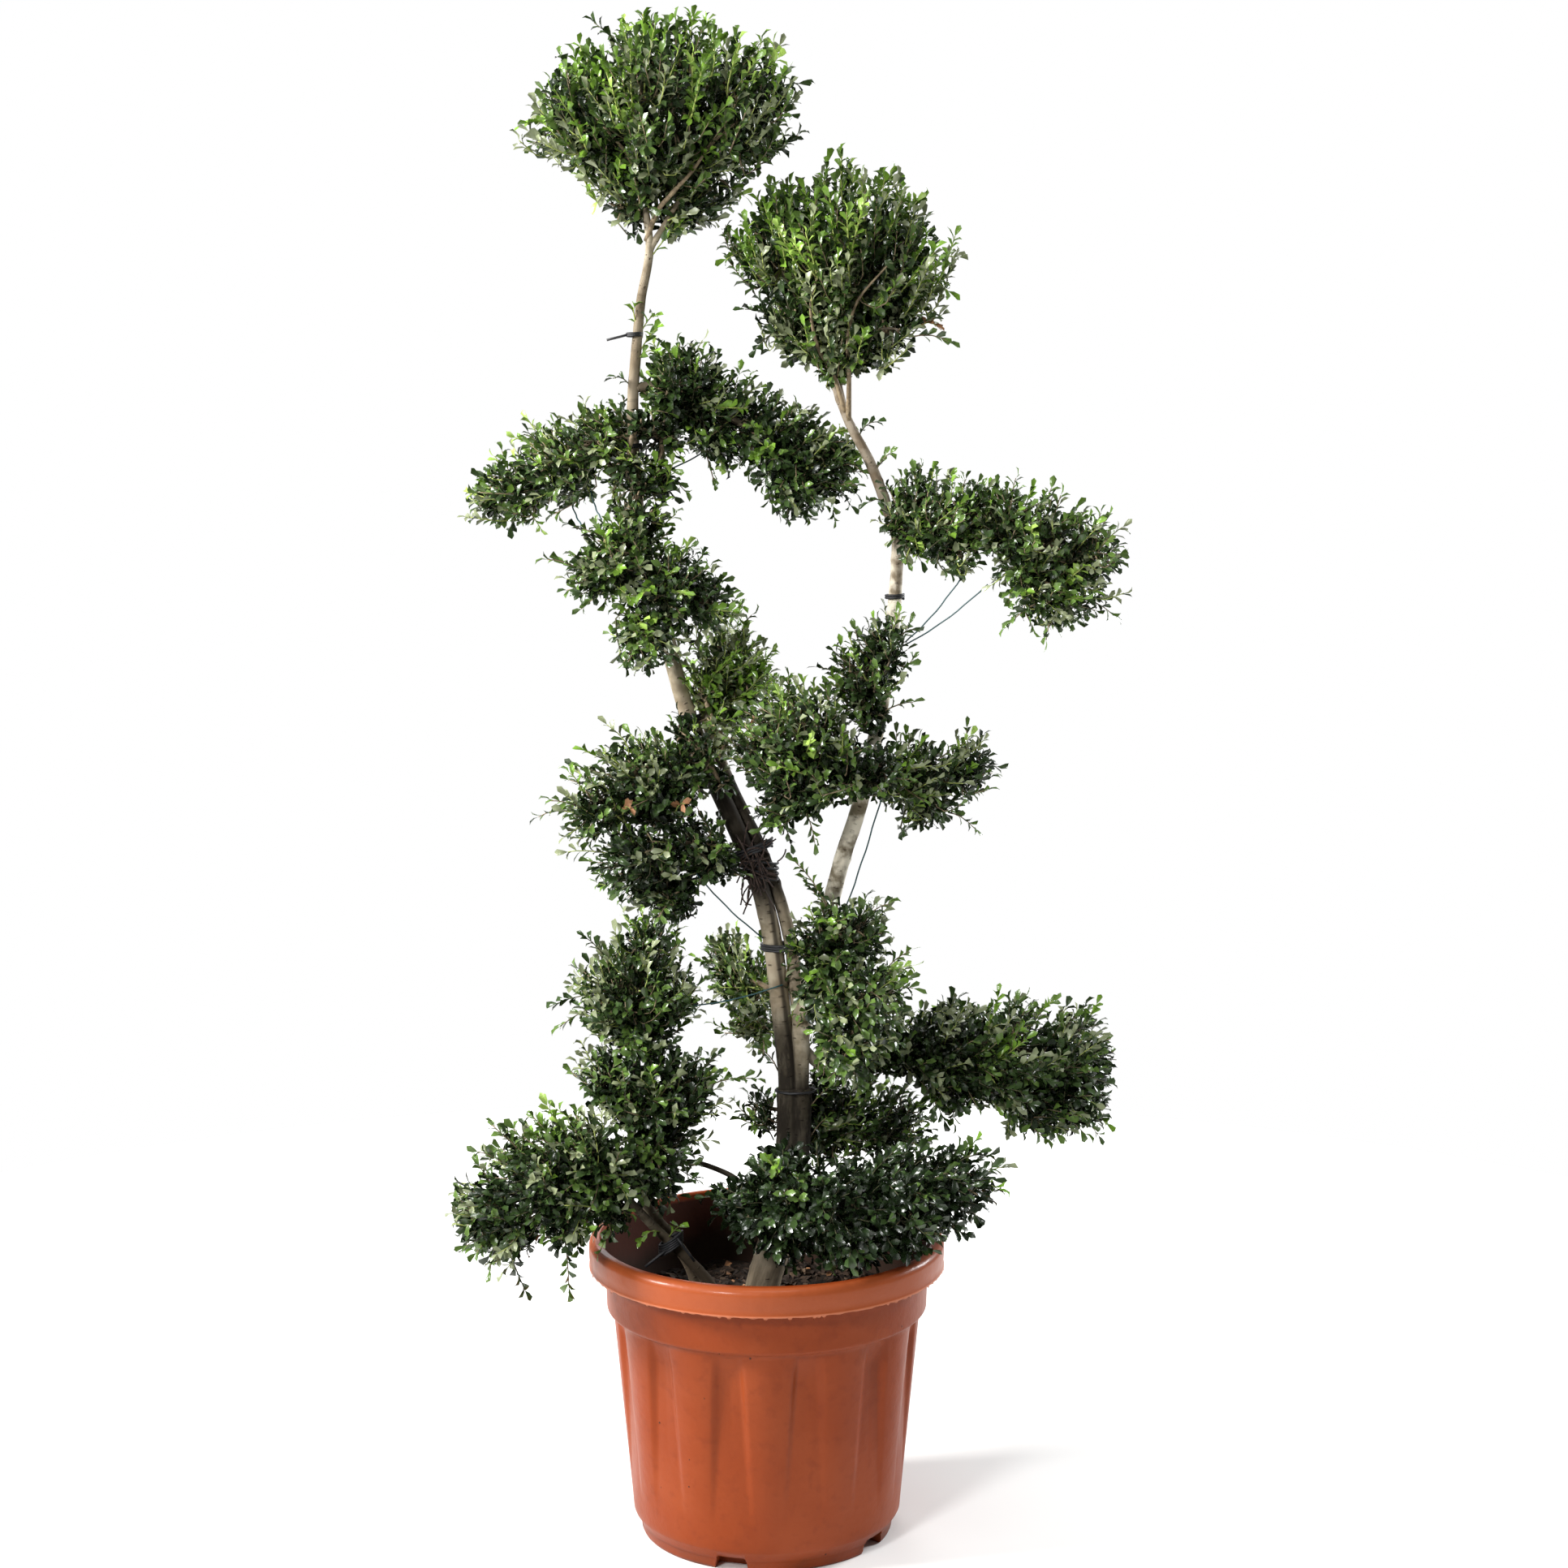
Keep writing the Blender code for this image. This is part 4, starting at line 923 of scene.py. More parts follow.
def makeLimb(name, material, seed):
    path, radii, lengths = limbShape(name, bark["step"])
    if path[0][2] < soil["top"]:
        keep = path[:, 2] > soil["top"] - bark["buried"]
        path, radii, lengths = path[keep], radii[keep], lengths[keep] - lengths[keep][0]
    picks = np.random.default_rng(seed)
    sides = bark["thinSides"] if radii[0] < bark["thinRadius"] else bark["sides"]
    rings = tubePoints(path[None], radii[None], sides)[0]
    outward = unit(rings - path[:, None])
    relief = np.zeros(rings.shape[:2])
    for row in range(len(path)):
        for column in range(sides):
            place = Vector(rings[row, column])
            slow = noise.noise(place * bark["swellScale"] + Vector((seed, 0, 0)))
            quick = noise.noise(place * Vector(bark["rippleScale"]))
            relief[row, column] = radii[row] * (bark["swell"] * slow + bark["ripple"] * quick)
    # Warts and the stubs of old twigs
    for _ in range(max(2, round(bark["wartsPerMetre"] * lengths[-1]))):
        row = picks.integers(len(path))
        spot = rings[row, picks.integers(sides)]
        size = picks.uniform(*bark["wartSizes"])
        away = np.linalg.norm(rings - spot, axis=2)
        spread = bark["wartSpread"] * size * min(1.0, 0.5 + radii[row] / 0.014)
        relief += bark["wartHeight"] * size * min(1.0, radii[row] / 0.009) * np.exp(-(away / spread) ** 2)
    rings += outward * relief[:, :, None]
    if name == "trunk":
        rings = shapeTrunk(rings, path)
    # The upper end is drawn in to a blunt point
    count = len(path)
    for row, share in enumerate(bark["tipShares"]):
        row = count - 1 - row
        rings[row] = path[row] + (rings[row] - path[row]) * share
    faces, caps = tubeFaces(1, count, sides)
    mesh = arrayMesh(name, rings.reshape(-1, 3), [faces, caps])
    addBarkMap(mesh, lengths, radii, count, sides)
    return addPiece(pieceName(name, "Bark"), mesh, [material])


def shapeTrunk(rings, path):
    # Two stems grow together in it, so it flattens and creases towards the fork, and flares at the soil
    centre = path[:, None]
    offset = rings - centre
    high = path[:, 2][:, None]
    rise = smoothShare((high - bark["creaseFoot"]) / bark["creaseRise"])
    angle = np.arctan2(offset[..., 0], -offset[..., 1])
    crease = 1 - bark["crease"] * rise * np.exp(-(np.sin(angle) / bark["creaseWidth"]) ** 2)
    flare = np.exp(-np.maximum(high - soil["top"], 0) / bark["flareHeight"])
    swell = bark["flare"]
    for size, count, turn in bark["roots"]:
        swell = swell + size * np.cos(count * angle + turn)
    offset *= (crease * (1 + flare * swell))[..., None]
    offset[..., 1] *= 1 - bark["flatten"] * rise
    return centre + offset


def addBarkMap(mesh, lengths, radii, count, sides):
    # The tube laid flat in metres: round the limb in U, up it in V
    layer = mesh.uv_layers.new(name="barkMap")
    corners = np.zeros(len(mesh.loops), np.int32)
    mesh.loops.foreach_get("vertex_index", corners)
    row, column = corners // sides, corners % sides
    quads = np.arange(len(corners)) < (count - 1) * sides * 4
    # A quad that closes the ring takes the next turn's columns, so that the map doesn't run back in it
    face = np.repeat(np.arange(len(corners) // 4 + 1), 4)[:len(corners)]
    lowest = np.minimum.reduceat(column, np.arange(0, len(corners), 4))[face]
    highest = np.maximum.reduceat(column, np.arange(0, len(corners), 4))[face]
    wraps = quads & (highest - lowest > sides // 2) & (column < sides // 2)
    around = column + np.where(wraps, sides, 0)
    girth = 2 * math.pi * float(radii.mean())
    flat = np.stack([around / sides * girth, lengths[row]], axis=1)
    layer.data.foreach_set("uv", flat.astype(np.float32).ravel())


# Foliage. Each mass has lobes, and grows from a limb at a height or at its tip

# A mass may differ from these. depth stretches its lobes from front to back, density and grow set how many
# shoots it has and how long its leaves are, rise and fan turn the shoots up and away from the limb, long
# lengthens them, leading is the share that stands out and inner the share that ends inside. gap opens the
# spaces between clumps, core deepens the tints inside as painted shade, and paleFoot adds grey leaves at
# the foot as painted sheen.
usualMass = dict(
    depth=1.2, density=1, grow=1, long=1, leading=0.07, inner=0.20, gap=-0.20, core=0.66, fan=0.46,
    paleFoot=0, strayTint=None, leaders=(), sprigs=(), strays=())

# A lobe is its centre, its reach and how full it is. Leaders are bent stems, sprigs are places on the
# outline that a shoot reaches, and strays are single shoots from one place to another.
masses = {
    "crown_left": dict(
        limb="left_stem", at="tip", depth=1.35, tone="crown", rise=0.45, fan=0.62, density=0.86,
        grow=1.12, long=1.35, leading=0.17, inner=0.31, gap=-0.01, core=0.46, paleFoot=0.40,
        lobes=[
            (-0.150, 0.02, 1.905, 0.062, 0.30), (-0.130, 0, 1.990, 0.120), (-0.243, 0.02, 1.972, 0.078),
            (-0.028, -0.02, 1.985, 0.080), (-0.080, 0.02, 1.885, 0.066, 0.55),
            (-0.208, 0.01, 1.905, 0.056, 0.42), (-0.104, 0.015, 1.842, 0.044, 0.40),
            (-0.192, 0.01, 1.842, 0.034, 0.30)],
        leaders=[
            [(-0.162, 0, 1.850), (-0.168, -0.006, 1.872), (-0.181, -0.034, 1.909), (-0.201, -0.055, 1.933),
             (-0.226, -0.062, 1.962)],
            [(-0.160, 0, 1.800), (-0.145, -0.012, 1.838), (-0.125, -0.034, 1.860), (-0.097, -0.058, 1.888),
             (-0.066, -0.075, 1.927), (-0.016, -0.080, 1.967)],
            [(-0.162, 0, 1.850), (-0.150, 0.030, 1.900), (-0.120, 0.050, 1.950), (-0.105, 0.055, 2.000)]],
        sprigs=[(-0.170, 2.104), (-0.088, 2.105), (-0.237, 2.090), (-0.335, 1.949), (-0.322, 1.921),
                (0.025, 2.062), (0.061, 2.004), (0.043, 1.959), (0.004, 1.908), (-0.020, 1.852),
                (-0.170, 1.800), (-0.280, 2.052)],
        strays=[((-0.157, 0, 1.775), (-0.112, -0.015, 1.822)),
                ((-0.172, 0, 1.672), (-0.150, -0.012, 1.700)),
                ((-0.172, 0, 1.680), (-0.176, -0.016, 1.712)),
                ((-0.175, 0, 1.640), (-0.152, -0.010, 1.655)),
                ((-0.172, 0, 1.650), (-0.146, -0.018, 1.684))], strayTint=4),
    "crown_right": dict(
        limb="right_leader", at="tip", depth=1.35, tone="bright", rise=0.45, fan=0.60, density=0.82,
        grow=1.12, long=1.3, leading=0.19, inner=0.29, gap=0.01, core=0.48, paleFoot=0.40,
        lobes=[
            (0.098, 0.02, 1.690, 0.070), (0.105, 0.02, 1.785, 0.116), (0.025, 0.03, 1.800, 0.083),
            (0.172, 0, 1.778, 0.082), (0.165, -0.02, 1.678, 0.055, 0.55),
            (0.035, 0.02, 1.698, 0.060, 0.62)],
        leaders=[
            [(0.108, 0.010, 1.570), (0.092, 0, 1.622), (0.070, -0.020, 1.660), (0.060, -0.045, 1.715),
             (0.075, -0.060, 1.770)],
            [(0.112, 0.008, 1.560), (0.112, -0.010, 1.620), (0.110, -0.040, 1.672), (0.122, -0.065, 1.720),
             (0.160, -0.075, 1.765)],
            [(0.108, 0.010, 1.570), (0.096, 0.040, 1.640), (0.100, 0.075, 1.720), (0.120, 0.080, 1.790)]],
        sprigs=[(0.110, 1.906), (0.175, 1.893), (0.215, 1.862), (0.267, 1.776), (0.253, 1.726),
                (0.234, 1.695), (0.253, 1.660), (-0.063, 1.770), (-0.040, 1.708), (-0.020, 1.648)],
        strays=[((0.196, -0.020, 1.676), (0.228, -0.030, 1.688))], strayTint=6),
    "pad_right_inner": dict(limb="right_leader", at=1.425, depth=1.25, tone="fresh", rise=0.45, lobes=[
        (0.205, -0.01, 1.455, 0.046), (0.258, -0.05, 1.435, 0.062), (0.205, -0.02, 1.408, 0.040, 0.6),
        (0.262, -0.05, 1.392, 0.040, 0.5), (0.302, -0.06, 1.434, 0.056),
        (0.178, -0.022, 1.430, 0.031, 0.7)],
        strays=[((0.180, 0, 1.400), (0.192, -0.030, 1.372)), ((0.176, 0, 1.440), (0.160, -0.020, 1.475)),
                ((0.168, 0, 1.440), (0.140, -0.010, 1.452)), ((0.146, 0, 1.490), (0.168, -0.018, 1.518)),
                ((0.124, 0.004, 1.535), (0.150, -0.012, 1.560))]),
    "pad_right_outer": dict(limb="right_arm", at="tip", tone="fresh", rise=0.25, lobes=[
        (0.375, -0.08, 1.391, 0.074), (0.426, -0.10, 1.383, 0.057), (0.386, -0.09, 1.340, 0.062),
        (0.318, -0.066, 1.431, 0.063)],
        sprigs=[(0.485, 1.428), (0.475, 1.368), (0.472, 1.298), (0.370, 1.263), (0.314, 1.285),
                (0.461, 1.449)]),
    "arch_inner": dict(limb="arch_bough", at=1.595, tone="plain", rise=0.35, density=1.25, lobes=[
        (-0.112, 0.05, 1.610, 0.062), (-0.056, 0.06, 1.568, 0.060), (-0.142, 0.01, 1.540, 0.042, 0.55),
        (-0.052, 0.05, 1.530, 0.044), (-0.092, 0.04, 1.556, 0.034), (-0.148, 0, 1.478, 0.036, 0.55),
        (-0.132, -0.016, 1.606, 0.036, 0.9), (-0.100, 0.01, 1.600, 0.036, 0.8),
        (-0.172, -0.030, 1.556, 0.028, 0.6), (-0.186, -0.028, 1.505, 0.028, 0.6),
        (-0.166, -0.034, 1.470, 0.030, 0.7), (-0.190, -0.020, 1.438, 0.026, 0.6)],
        sprigs=[(-0.109, 1.670), (-0.150, 1.663)],
        strays=[((-0.178, 0, 1.600), (-0.206, -0.010, 1.618)),
                ((-0.178, 0, 1.560), (-0.132, -0.020, 1.572)),
                ((-0.178, 0, 1.500), (-0.128, -0.010, 1.495)),
                ((-0.176, 0, 1.470), (-0.205, -0.010, 1.450))]),
    "arch_outer": dict(limb="arch_bough", at="tip", tone="plain", rise=0.15, density=1.30, lobes=[
        (0.028, 0.05, 1.522, 0.068), (0.074, 0.03, 1.495, 0.060), (0.040, 0.03, 1.467, 0.048),
        (-0.012, 0.055, 1.545, 0.058), (0.096, 0.02, 1.510, 0.036)],
        sprigs=[(0.095, 1.416), (0.121, 1.436)]),
    "pad_upper_left": dict(limb="left_stem", at=1.545, depth=1.25, tone="fresh", rise=0.3, lobes=[
        (-0.228, 0.02, 1.535, 0.054), (-0.288, 0.05, 1.500, 0.061), (-0.350, 0.08, 1.465, 0.054),
        (-0.385, 0.09, 1.450, 0.034), (-0.196, 0.03, 1.552, 0.040, 0.7), (-0.200, 0.01, 1.480, 0.030, 0.5)],
        sprigs=[(-0.416, 1.455), (-0.385, 1.508), (-0.334, 1.552), (-0.256, 1.591), (-0.306, 1.402)]),
    "pad_mid_left": dict(limb="left_stem", at=1.395, tone="crown", rise=0.3, lobes=[
        (-0.196, -0.06, 1.378, 0.066), (-0.170, -0.03, 1.430, 0.046), (-0.130, -0.07, 1.340, 0.064),
        (-0.080, -0.06, 1.318, 0.048), (-0.162, -0.06, 1.275, 0.052), (-0.228, -0.06, 1.360, 0.046)],
        sprigs=[(-0.303, 1.377), (-0.263, 1.344), (-0.275, 1.431)]),
    "pad_mid_inner": dict(limb="twin_stem", at="tip", tone="light", rise=0.4, core=0.90, lobes=[
        (-0.052, 0.03, 1.242, 0.056), (-0.046, 0.03, 1.178, 0.052), (-0.026, 0.03, 1.208, 0.048),
        (-0.084, 0, 1.190, 0.028, 0.7), (-0.070, -0.020, 1.150, 0.028, 0.6),
        (-0.058, -0.030, 1.122, 0.028, 0.6), (-0.090, 0.034, 1.196, 0.030, 0.8)],
        sprigs=[(0.016, 1.233), (-0.010, 1.304)]),
    "pad_centre": dict(limb="right_leader", at=1.060, tone="plain", rise=0.25, lobes=[
        (0.100, -0.05, 1.105, 0.062), (0.040, -0.08, 1.155, 0.070), (0.034, -0.07, 1.085, 0.070),
        (0.152, -0.04, 1.092, 0.044, 0.9), (0.012, -0.05, 1.045, 0.040, 0.7),
        (-0.020, -0.055, 1.120, 0.040, 0.9)],
        sprigs=[(0.067, 0.986), (0.036, 0.981)]),
    "pad_centre_top": dict(limb="right_leader", at=1.190, tone="plain", rise=0.4, lobes=[
        (0.128, -0.04, 1.215, 0.053), (0.160, -0.04, 1.262, 0.044), (0.140, -0.03, 1.165, 0.040, 0.8)],
        sprigs=[(0.213, 1.282), (0.083, 1.258), (0.060, 1.229), (0.210, 1.182)]),
    "pad_centre_right": dict(limb="right_leader", at=1.090, tone="grey", rise=0.3, lobes=[
        (0.222, 0.06, 1.068, 0.068), (0.280, 0.09, 1.075, 0.050), (0.235, 0.07, 1.028, 0.042)],
        sprigs=[(0.335, 1.074), (0.316, 1.123), (0.275, 1.139), (0.299, 0.985)]),
    "pad_left_high": dict(limb="left_stem", at=1.080, tone="grey", rise=0.18, lobes=[
        (-0.125, -0.05, 1.085, 0.058), (-0.178, -0.07, 1.083, 0.065), (-0.230, -0.09, 1.045, 0.054),
        (-0.150, -0.06, 1.030, 0.055), (-0.090, -0.042, 1.118, 0.036, 0.9),
        (-0.062, -0.040, 1.072, 0.030, 0.6), (-0.112, -0.040, 1.140, 0.030, 0.9)],
        sprigs=[(-0.299, 1.057), (-0.273, 1.101), (-0.316, 1.027)],
        strays=[((-0.192, -0.112, 1.040), (-0.180, -0.144, 1.052)),
                ((-0.122, -0.095, 1.040), (-0.108, -0.126, 1.056)),
                ((-0.030, -0.020, 1.112), (-0.020, -0.034, 1.148))], strayTint=6),
    "pad_left_low": dict(limb="left_stem", at=0.960, tone="dark", rise=0.15, lobes=[
        (-0.100, -0.05, 0.985, 0.058), (-0.174, -0.08, 0.980, 0.068), (-0.135, -0.07, 0.920, 0.048),
        (-0.072, -0.03, 0.955, 0.036, 0.8)],
        sprigs=[(-0.279, 0.983), (-0.230, 0.944), (-0.125, 0.882)]),
    "pad_behind": dict(limb="left_stem", at=0.765, tone="olive", rise=0.4, lobes=[
        (-0.035, 0.11, 0.770, 0.056), (-0.058, 0.14, 0.795, 0.044), (-0.022, 0.13, 0.705, 0.042)]),
    "pad_middle": dict(
        limb="right_leader", at=0.835, tone="grey", rise=0.18, grow=1.06, leading=0.04,
        lobes=[
            (0.112, -0.06, 0.865, 0.062), (0.130, -0.07, 0.785, 0.072), (0.115, -0.07, 0.712, 0.054),
            (0.072, -0.055, 0.812, 0.036, 0.9), (0.080, -0.052, 0.872, 0.036, 0.9),
            (0.076, -0.046, 0.768, 0.034), (0.098, -0.050, 0.705, 0.036),
            (0.060, -0.046, 0.845, 0.032, 0.9)],
        strays=[((0.028, 0, 0.760), (0.030, -0.020, 0.815)), ((0.034, 0, 0.730), (0.044, -0.022, 0.775)),
                ((0.040, 0, 0.700), (0.050, -0.022, 0.735)), ((0.030, 0, 0.800), (0.034, -0.020, 0.850))],
        sprigs=[(0.031, 0.974), (0.046, 0.946), (0.206, 0.850), (0.212, 0.794), (0.178, 0.912)]),
    "pad_low_right": dict(
        limb="low_right_bough", at="tip", depth=1.25, tone="dark", rise=0.16, grow=1.08, leading=0.03,
        lobes=[
            (0.252, 0.06, 0.680, 0.070), (0.342, 0.09, 0.662, 0.088), (0.432, 0.11, 0.640, 0.080),
            (0.395, 0.09, 0.600, 0.066), (0.275, 0.07, 0.628, 0.054), (0.448, 0.10, 0.590, 0.052),
            (0.196, 0.04, 0.682, 0.045), (0.148, 0.03, 0.682, 0.042), (0.100, 0.01, 0.694, 0.036, 0.9)],
        sprigs=[(0.262, 0.765), (0.341, 0.758), (0.416, 0.749), (0.480, 0.738), (0.503, 0.684),
                (0.503, 0.631), (0.500, 0.545), (0.401, 0.530), (0.262, 0.560)]),
    "column_top": dict(
        limb="column_stem", at="tip", tone="grey", rise=0.22, grow=1.06, leading=0.04,
        lobes=[
            (-0.190, -0.02, 0.778, 0.078), (-0.162, -0.02, 0.840, 0.052), (-0.135, -0.02, 0.775, 0.054),
            (-0.172, -0.02, 0.722, 0.060)],
        sprigs=[(-0.261, 0.859), (-0.300, 0.753), (-0.296, 0.717), (-0.195, 0.876)]),
    "column_foot": dict(
        limb="column_stem", at=0.575, tone="dark", rise=0.16, grow=1.06, leading=0.04,
        lobes=[
            (-0.165, -0.02, 0.640, 0.080), (-0.115, -0.02, 0.640, 0.056), (-0.150, -0.03, 0.556, 0.062),
            (-0.215, -0.02, 0.660, 0.050), (-0.160, -0.03, 0.505, 0.044, 0.7)],
        sprigs=[(-0.059, 0.694), (-0.054, 0.664), (-0.002, 0.651), (-0.067, 0.574), (-0.113, 0.525)]),
    "pad_low_left": dict(
        limb="low_left_stem", at="tip", depth=1.25, tone="dark", rise=0.14, grow=1.08, leading=0.04,
        lobes=[
            (-0.250, -0.11, 0.565, 0.066), (-0.315, -0.13, 0.540, 0.074), (-0.380, -0.15, 0.500, 0.060),
            (-0.275, -0.14, 0.492, 0.050), (-0.360, -0.13, 0.462, 0.044, 0.8),
            (-0.215, -0.09, 0.530, 0.056), (-0.212, -0.08, 0.478, 0.040, 0.7)],
        sprigs=[(-0.428, 0.526), (-0.428, 0.480), (-0.400, 0.588), (-0.358, 0.618), (-0.301, 0.655),
                (-0.379, 0.405), (-0.323, 0.380), (-0.268, 0.372)],
        strays=[((-0.138, -0.050, 0.432), (-0.118, -0.074, 0.458)),
                ((-0.148, -0.062, 0.446), (-0.172, -0.084, 0.440))],
        strayTint=4),
    "pad_low_front": dict(
        limb="front_bough", at="tip", depth=1.25, tone="gloss", rise=0.1, density=0.92, grow=1.15,
        leading=0.03,
        lobes=[
            (0.035, -0.12, 0.510, 0.066), (0.100, -0.15, 0.502, 0.074), (0.185, -0.14, 0.515, 0.076),
            (0.262, -0.12, 0.528, 0.058), (-0.018, -0.11, 0.500, 0.048), (0.055, -0.12, 0.458, 0.044, 0.8),
            (0.030, -0.100, 0.450, 0.038, 0.9), (0.012, -0.095, 0.440, 0.028, 0.7),
            (0.020, -0.075, 0.535, 0.044), (-0.018, -0.080, 0.470, 0.046),
            (-0.050, -0.075, 0.498, 0.034, 0.7), (0.130, -0.14, 0.455, 0.048, 0.9),
            (0.195, -0.13, 0.468, 0.048, 0.8)],
        sprigs=[(0.337, 0.549), (0.324, 0.524), (0.292, 0.600), (0.288, 0.479), (0.244, 0.456),
                (-0.065, 0.494)]),
    "pad_low_back": dict(limb="trunk", at=0.545, tone="plain", rise=0.2, lobes=[
        (0.110, 0.11, 0.565, 0.070), (0.190, 0.13, 0.550, 0.058), (0.075, 0.07, 0.580, 0.048),
        (-0.008, 0.035, 0.598, 0.034, 0.6), (0.085, 0.06, 0.630, 0.040, 0.6)],
        strays=[((0.020, 0, 0.720), (-0.012, -0.010, 0.738)), ((0.016, 0, 0.660), (-0.012, -0.015, 0.695)),
                ((0.012, 0, 0.600), (-0.014, -0.020, 0.640)), ((0.010, 0, 0.560), (-0.012, -0.022, 0.598)),
                ((0.055, 0, 0.600), (0.086, -0.018, 0.640)), ((0.058, 0, 0.560), (0.085, -0.024, 0.600))]),
}
masses = {name: {**usualMass, **mass} for name, mass in masses.items()}

foliage = {
    "seed": 21, "shootsPerArea": 31000, "boughShare": 0.13, "leastBoughs": 4, "boughReach": (0.40, 0.62),
    "shootLength": (0.032, 0.066), "shootSpread": 0.20, "bareFoot": (0.12, 0.45), "sprigFoot": 0.22,
    "leadingReach": (0.004, 0.018), "leadingLength": 1.7, "leadingWidth": 1.35,
    "tipInset": 0.013, "ragged": 0.009, "unevenness": 0.20, "unevenScale": 2.1,
    "innerReach": (0.45, 0.85), "sunkShare": 0.25, "gapScale": 24, "coreShare": 0.74,
    # Radii at the foot and the tip, and sides
    "stem": ((0.0048, 0.0026), 6), "bough": ((0.0024, 0.0011), 4), "leader": ((0.0040, 0.0012), 7),
    "shoot": ((0.00125, 0.00065), 3),
    "leafLength": (0.0125, 0.0195), "leafGap": 0.0054, "leafTurn": math.radians(165), "turnSpread": 0.35,
    "spread": math.radians(42), "spreadRange": (0.7, 1.35), "lastSpread": 0.3, "facingSpread": 0.36,
    "facingAlong": 0.55, "facingUp": 0.55, "facingAside": 0.45, "oldShare": 0.66,
    # Bends of stems and boughs, as shares of their length or their lobe's reach
    "stemBend": 0.10, "stemLift": 0.10, "boughTurn": 0.15, "boughStart": 0.10, "boughBend": 0.07,
    "sprigAside": 0.35, "sprigForward": 0.01, "sprigStart": 0.30, "sprigLift": 0.010, "sprigBend": 0.004,
    "strayLift": 0.012, "strayBend": 0.003, "rootInset": 0.012, "lastLeaf": 0.012,
    # Room left free: to limbs, the outer size, soil and rim, and to other masses as a share of a reach
    "limbGap": 0.0025, "tipGap": 0.0015, "boxGap": 0.0038, "soilGap": 0.012, "rimGap": 0.003,
    "overRim": 0.002, "shootMargin": 0.06, "tipMargin": 0.10, "leafMargin": 0.12,
}

# Colours, and how rough each is
leafTints = {
    "leafDeep": (rgb(0.013, 0.026, 0.008), 0.20),
    "leafDark": (rgb(0.041, 0.076, 0.021), 0.18),
    "leafMid": (rgb(0.108, 0.188, 0.038), 0.18),
    # A pale grey-green, which also stands in as painted sheen on the leaves
    "leafPaleSheen": (rgb(0.262, 0.300, 0.165), 0.24),
    "leafFresh": (rgb(0.185, 0.340, 0.040), 0.20),
    "leafYoung": (rgb(0.340, 0.510, 0.100), 0.26),
    "leafDry": (rgb(0.300, 0.140, 0.058), 0.60),
}

# Shares of the tints in each tone, in the order of leafTints
tones = {
    # The next tone gives crown_right paler tints as painted light, where it lies in the shade of crown_left
    "bright": (0.13, 0.17, 0.25, 0.15, 0.20, 0.098, 0.002),
    "crown": (0.17, 0.21, 0.25, 0.10, 0.19, 0.080, 0.002),
    "fresh": (0.14, 0.22, 0.27, 0.14, 0.16, 0.067, 0.003),
    "plain": (0.18, 0.25, 0.24, 0.16, 0.12, 0.045, 0.005),
    "olive": (0.03, 0.07, 0.20, 0.37, 0.18, 0.145, 0.005),
    # The next tone gives pad_mid_inner paler and younger tints as painted light, where it lies in shade
    "light": (0.005, 0.02, 0.13, 0.36, 0.26, 0.22, 0.005),
    "grey": (0.16, 0.20, 0.19, 0.29, 0.10, 0.055, 0.005),
    "dark": (0.24, 0.24, 0.18, 0.20, 0.10, 0.035, 0.005),
    "gloss": (0.50, 0.31, 0.09, 0.03, 0.06, 0.006, 0.002),
}


def spreadDirections(count, picks):
    # Spread evenly over a sphere, from a start at random
    number = np.arange(count)
    height = 1 - (2 * number + 1) / count
    angle = picks.uniform(0, 2 * math.pi) + number * math.pi * (3 - math.sqrt(5))
    side = np.sqrt(1 - height ** 2)
    return np.stack([side * np.cos(angle), side * np.sin(angle), height], axis=1)


def lobeTable(mass):
    # Centre and reach of each lobe
    return np.array([lobe[:4] for lobe in mass["lobes"]])


def shareOfSpace(mass, points):
    # How far out points lie in a mass: 1 at the reach of its nearest lobe
    lobes = lobeTable(mass)
    offset = points[:, None] - lobes[None, :, :3]
    offset[..., 1] /= mass["depth"]
    return (np.linalg.norm(offset, axis=2) / lobes[:, 3]).min(axis=1)


def inOwnSpace(name, points, margin):
    # Points that lie deeper in this mass than in any other, or nearly so
    own = shareOfSpace(masses[name], points)
    keep = np.ones(len(points), bool)
    for otherName, other in masses.items():
        if otherName != name:
            keep &= shareOfSpace(other, points) >= own - margin
    return keep


def inOpenSpace(points):
    # Inside the outer size of the solids, above the soil and clear of the pot wall
    keep = np.ones(len(points), bool)
    fromAxis = np.hypot(points[:, 0], points[:, 1])
    overPot = fromAxis < pot["rimRadius"] + foliage["rimGap"]
    keep &= ~((points[:, 2] < soil["top"] + foliage["soilGap"]) & overPot)
    inWall = (fromAxis > pot["crestInner"] - foliage["soilGap"]) & overPot
    keep &= ~(inWall & (points[:, 2] < pot["height"] + foliage["overRim"]))
    low, high = np.array(cadLow) + foliage["boxGap"], np.array(cadHigh) - foliage["boxGap"]
    return keep & ((points > low) & (points < high)).all(axis=1)


def limbSamples():
    # Points along every limb, with the limb's radius there
    places, radii = [], []
    for name in limbs:
        path, sizes, _ = limbShape(name, 0.006)
        places.append(path)
        radii.append(sizes)
    return np.concatenate(places), np.concatenate(radii)


def clearOfLimbs(points, samples, gap):
    # Taken a few thousand at a time, to save memory
    keep = np.ones(len(points), bool)
    places, radii = samples
    batch = 4000
    for start in range(0, len(points), batch):
        part = points[start:start + batch]
        away = np.linalg.norm(part[:, None] - places[None], axis=2) - radii[None]
        keep[start:start + batch] = away.min(axis=1) > gap
    return keep


def curve(first, control, last, steps):
    # Points on a bent twig between two ends
    t = np.linspace(0, 1, steps)[None, :, None]
    return (1 - t) ** 2 * first[:, None] + 2 * t * (1 - t) * control[:, None] + t ** 2 * last[:, None]


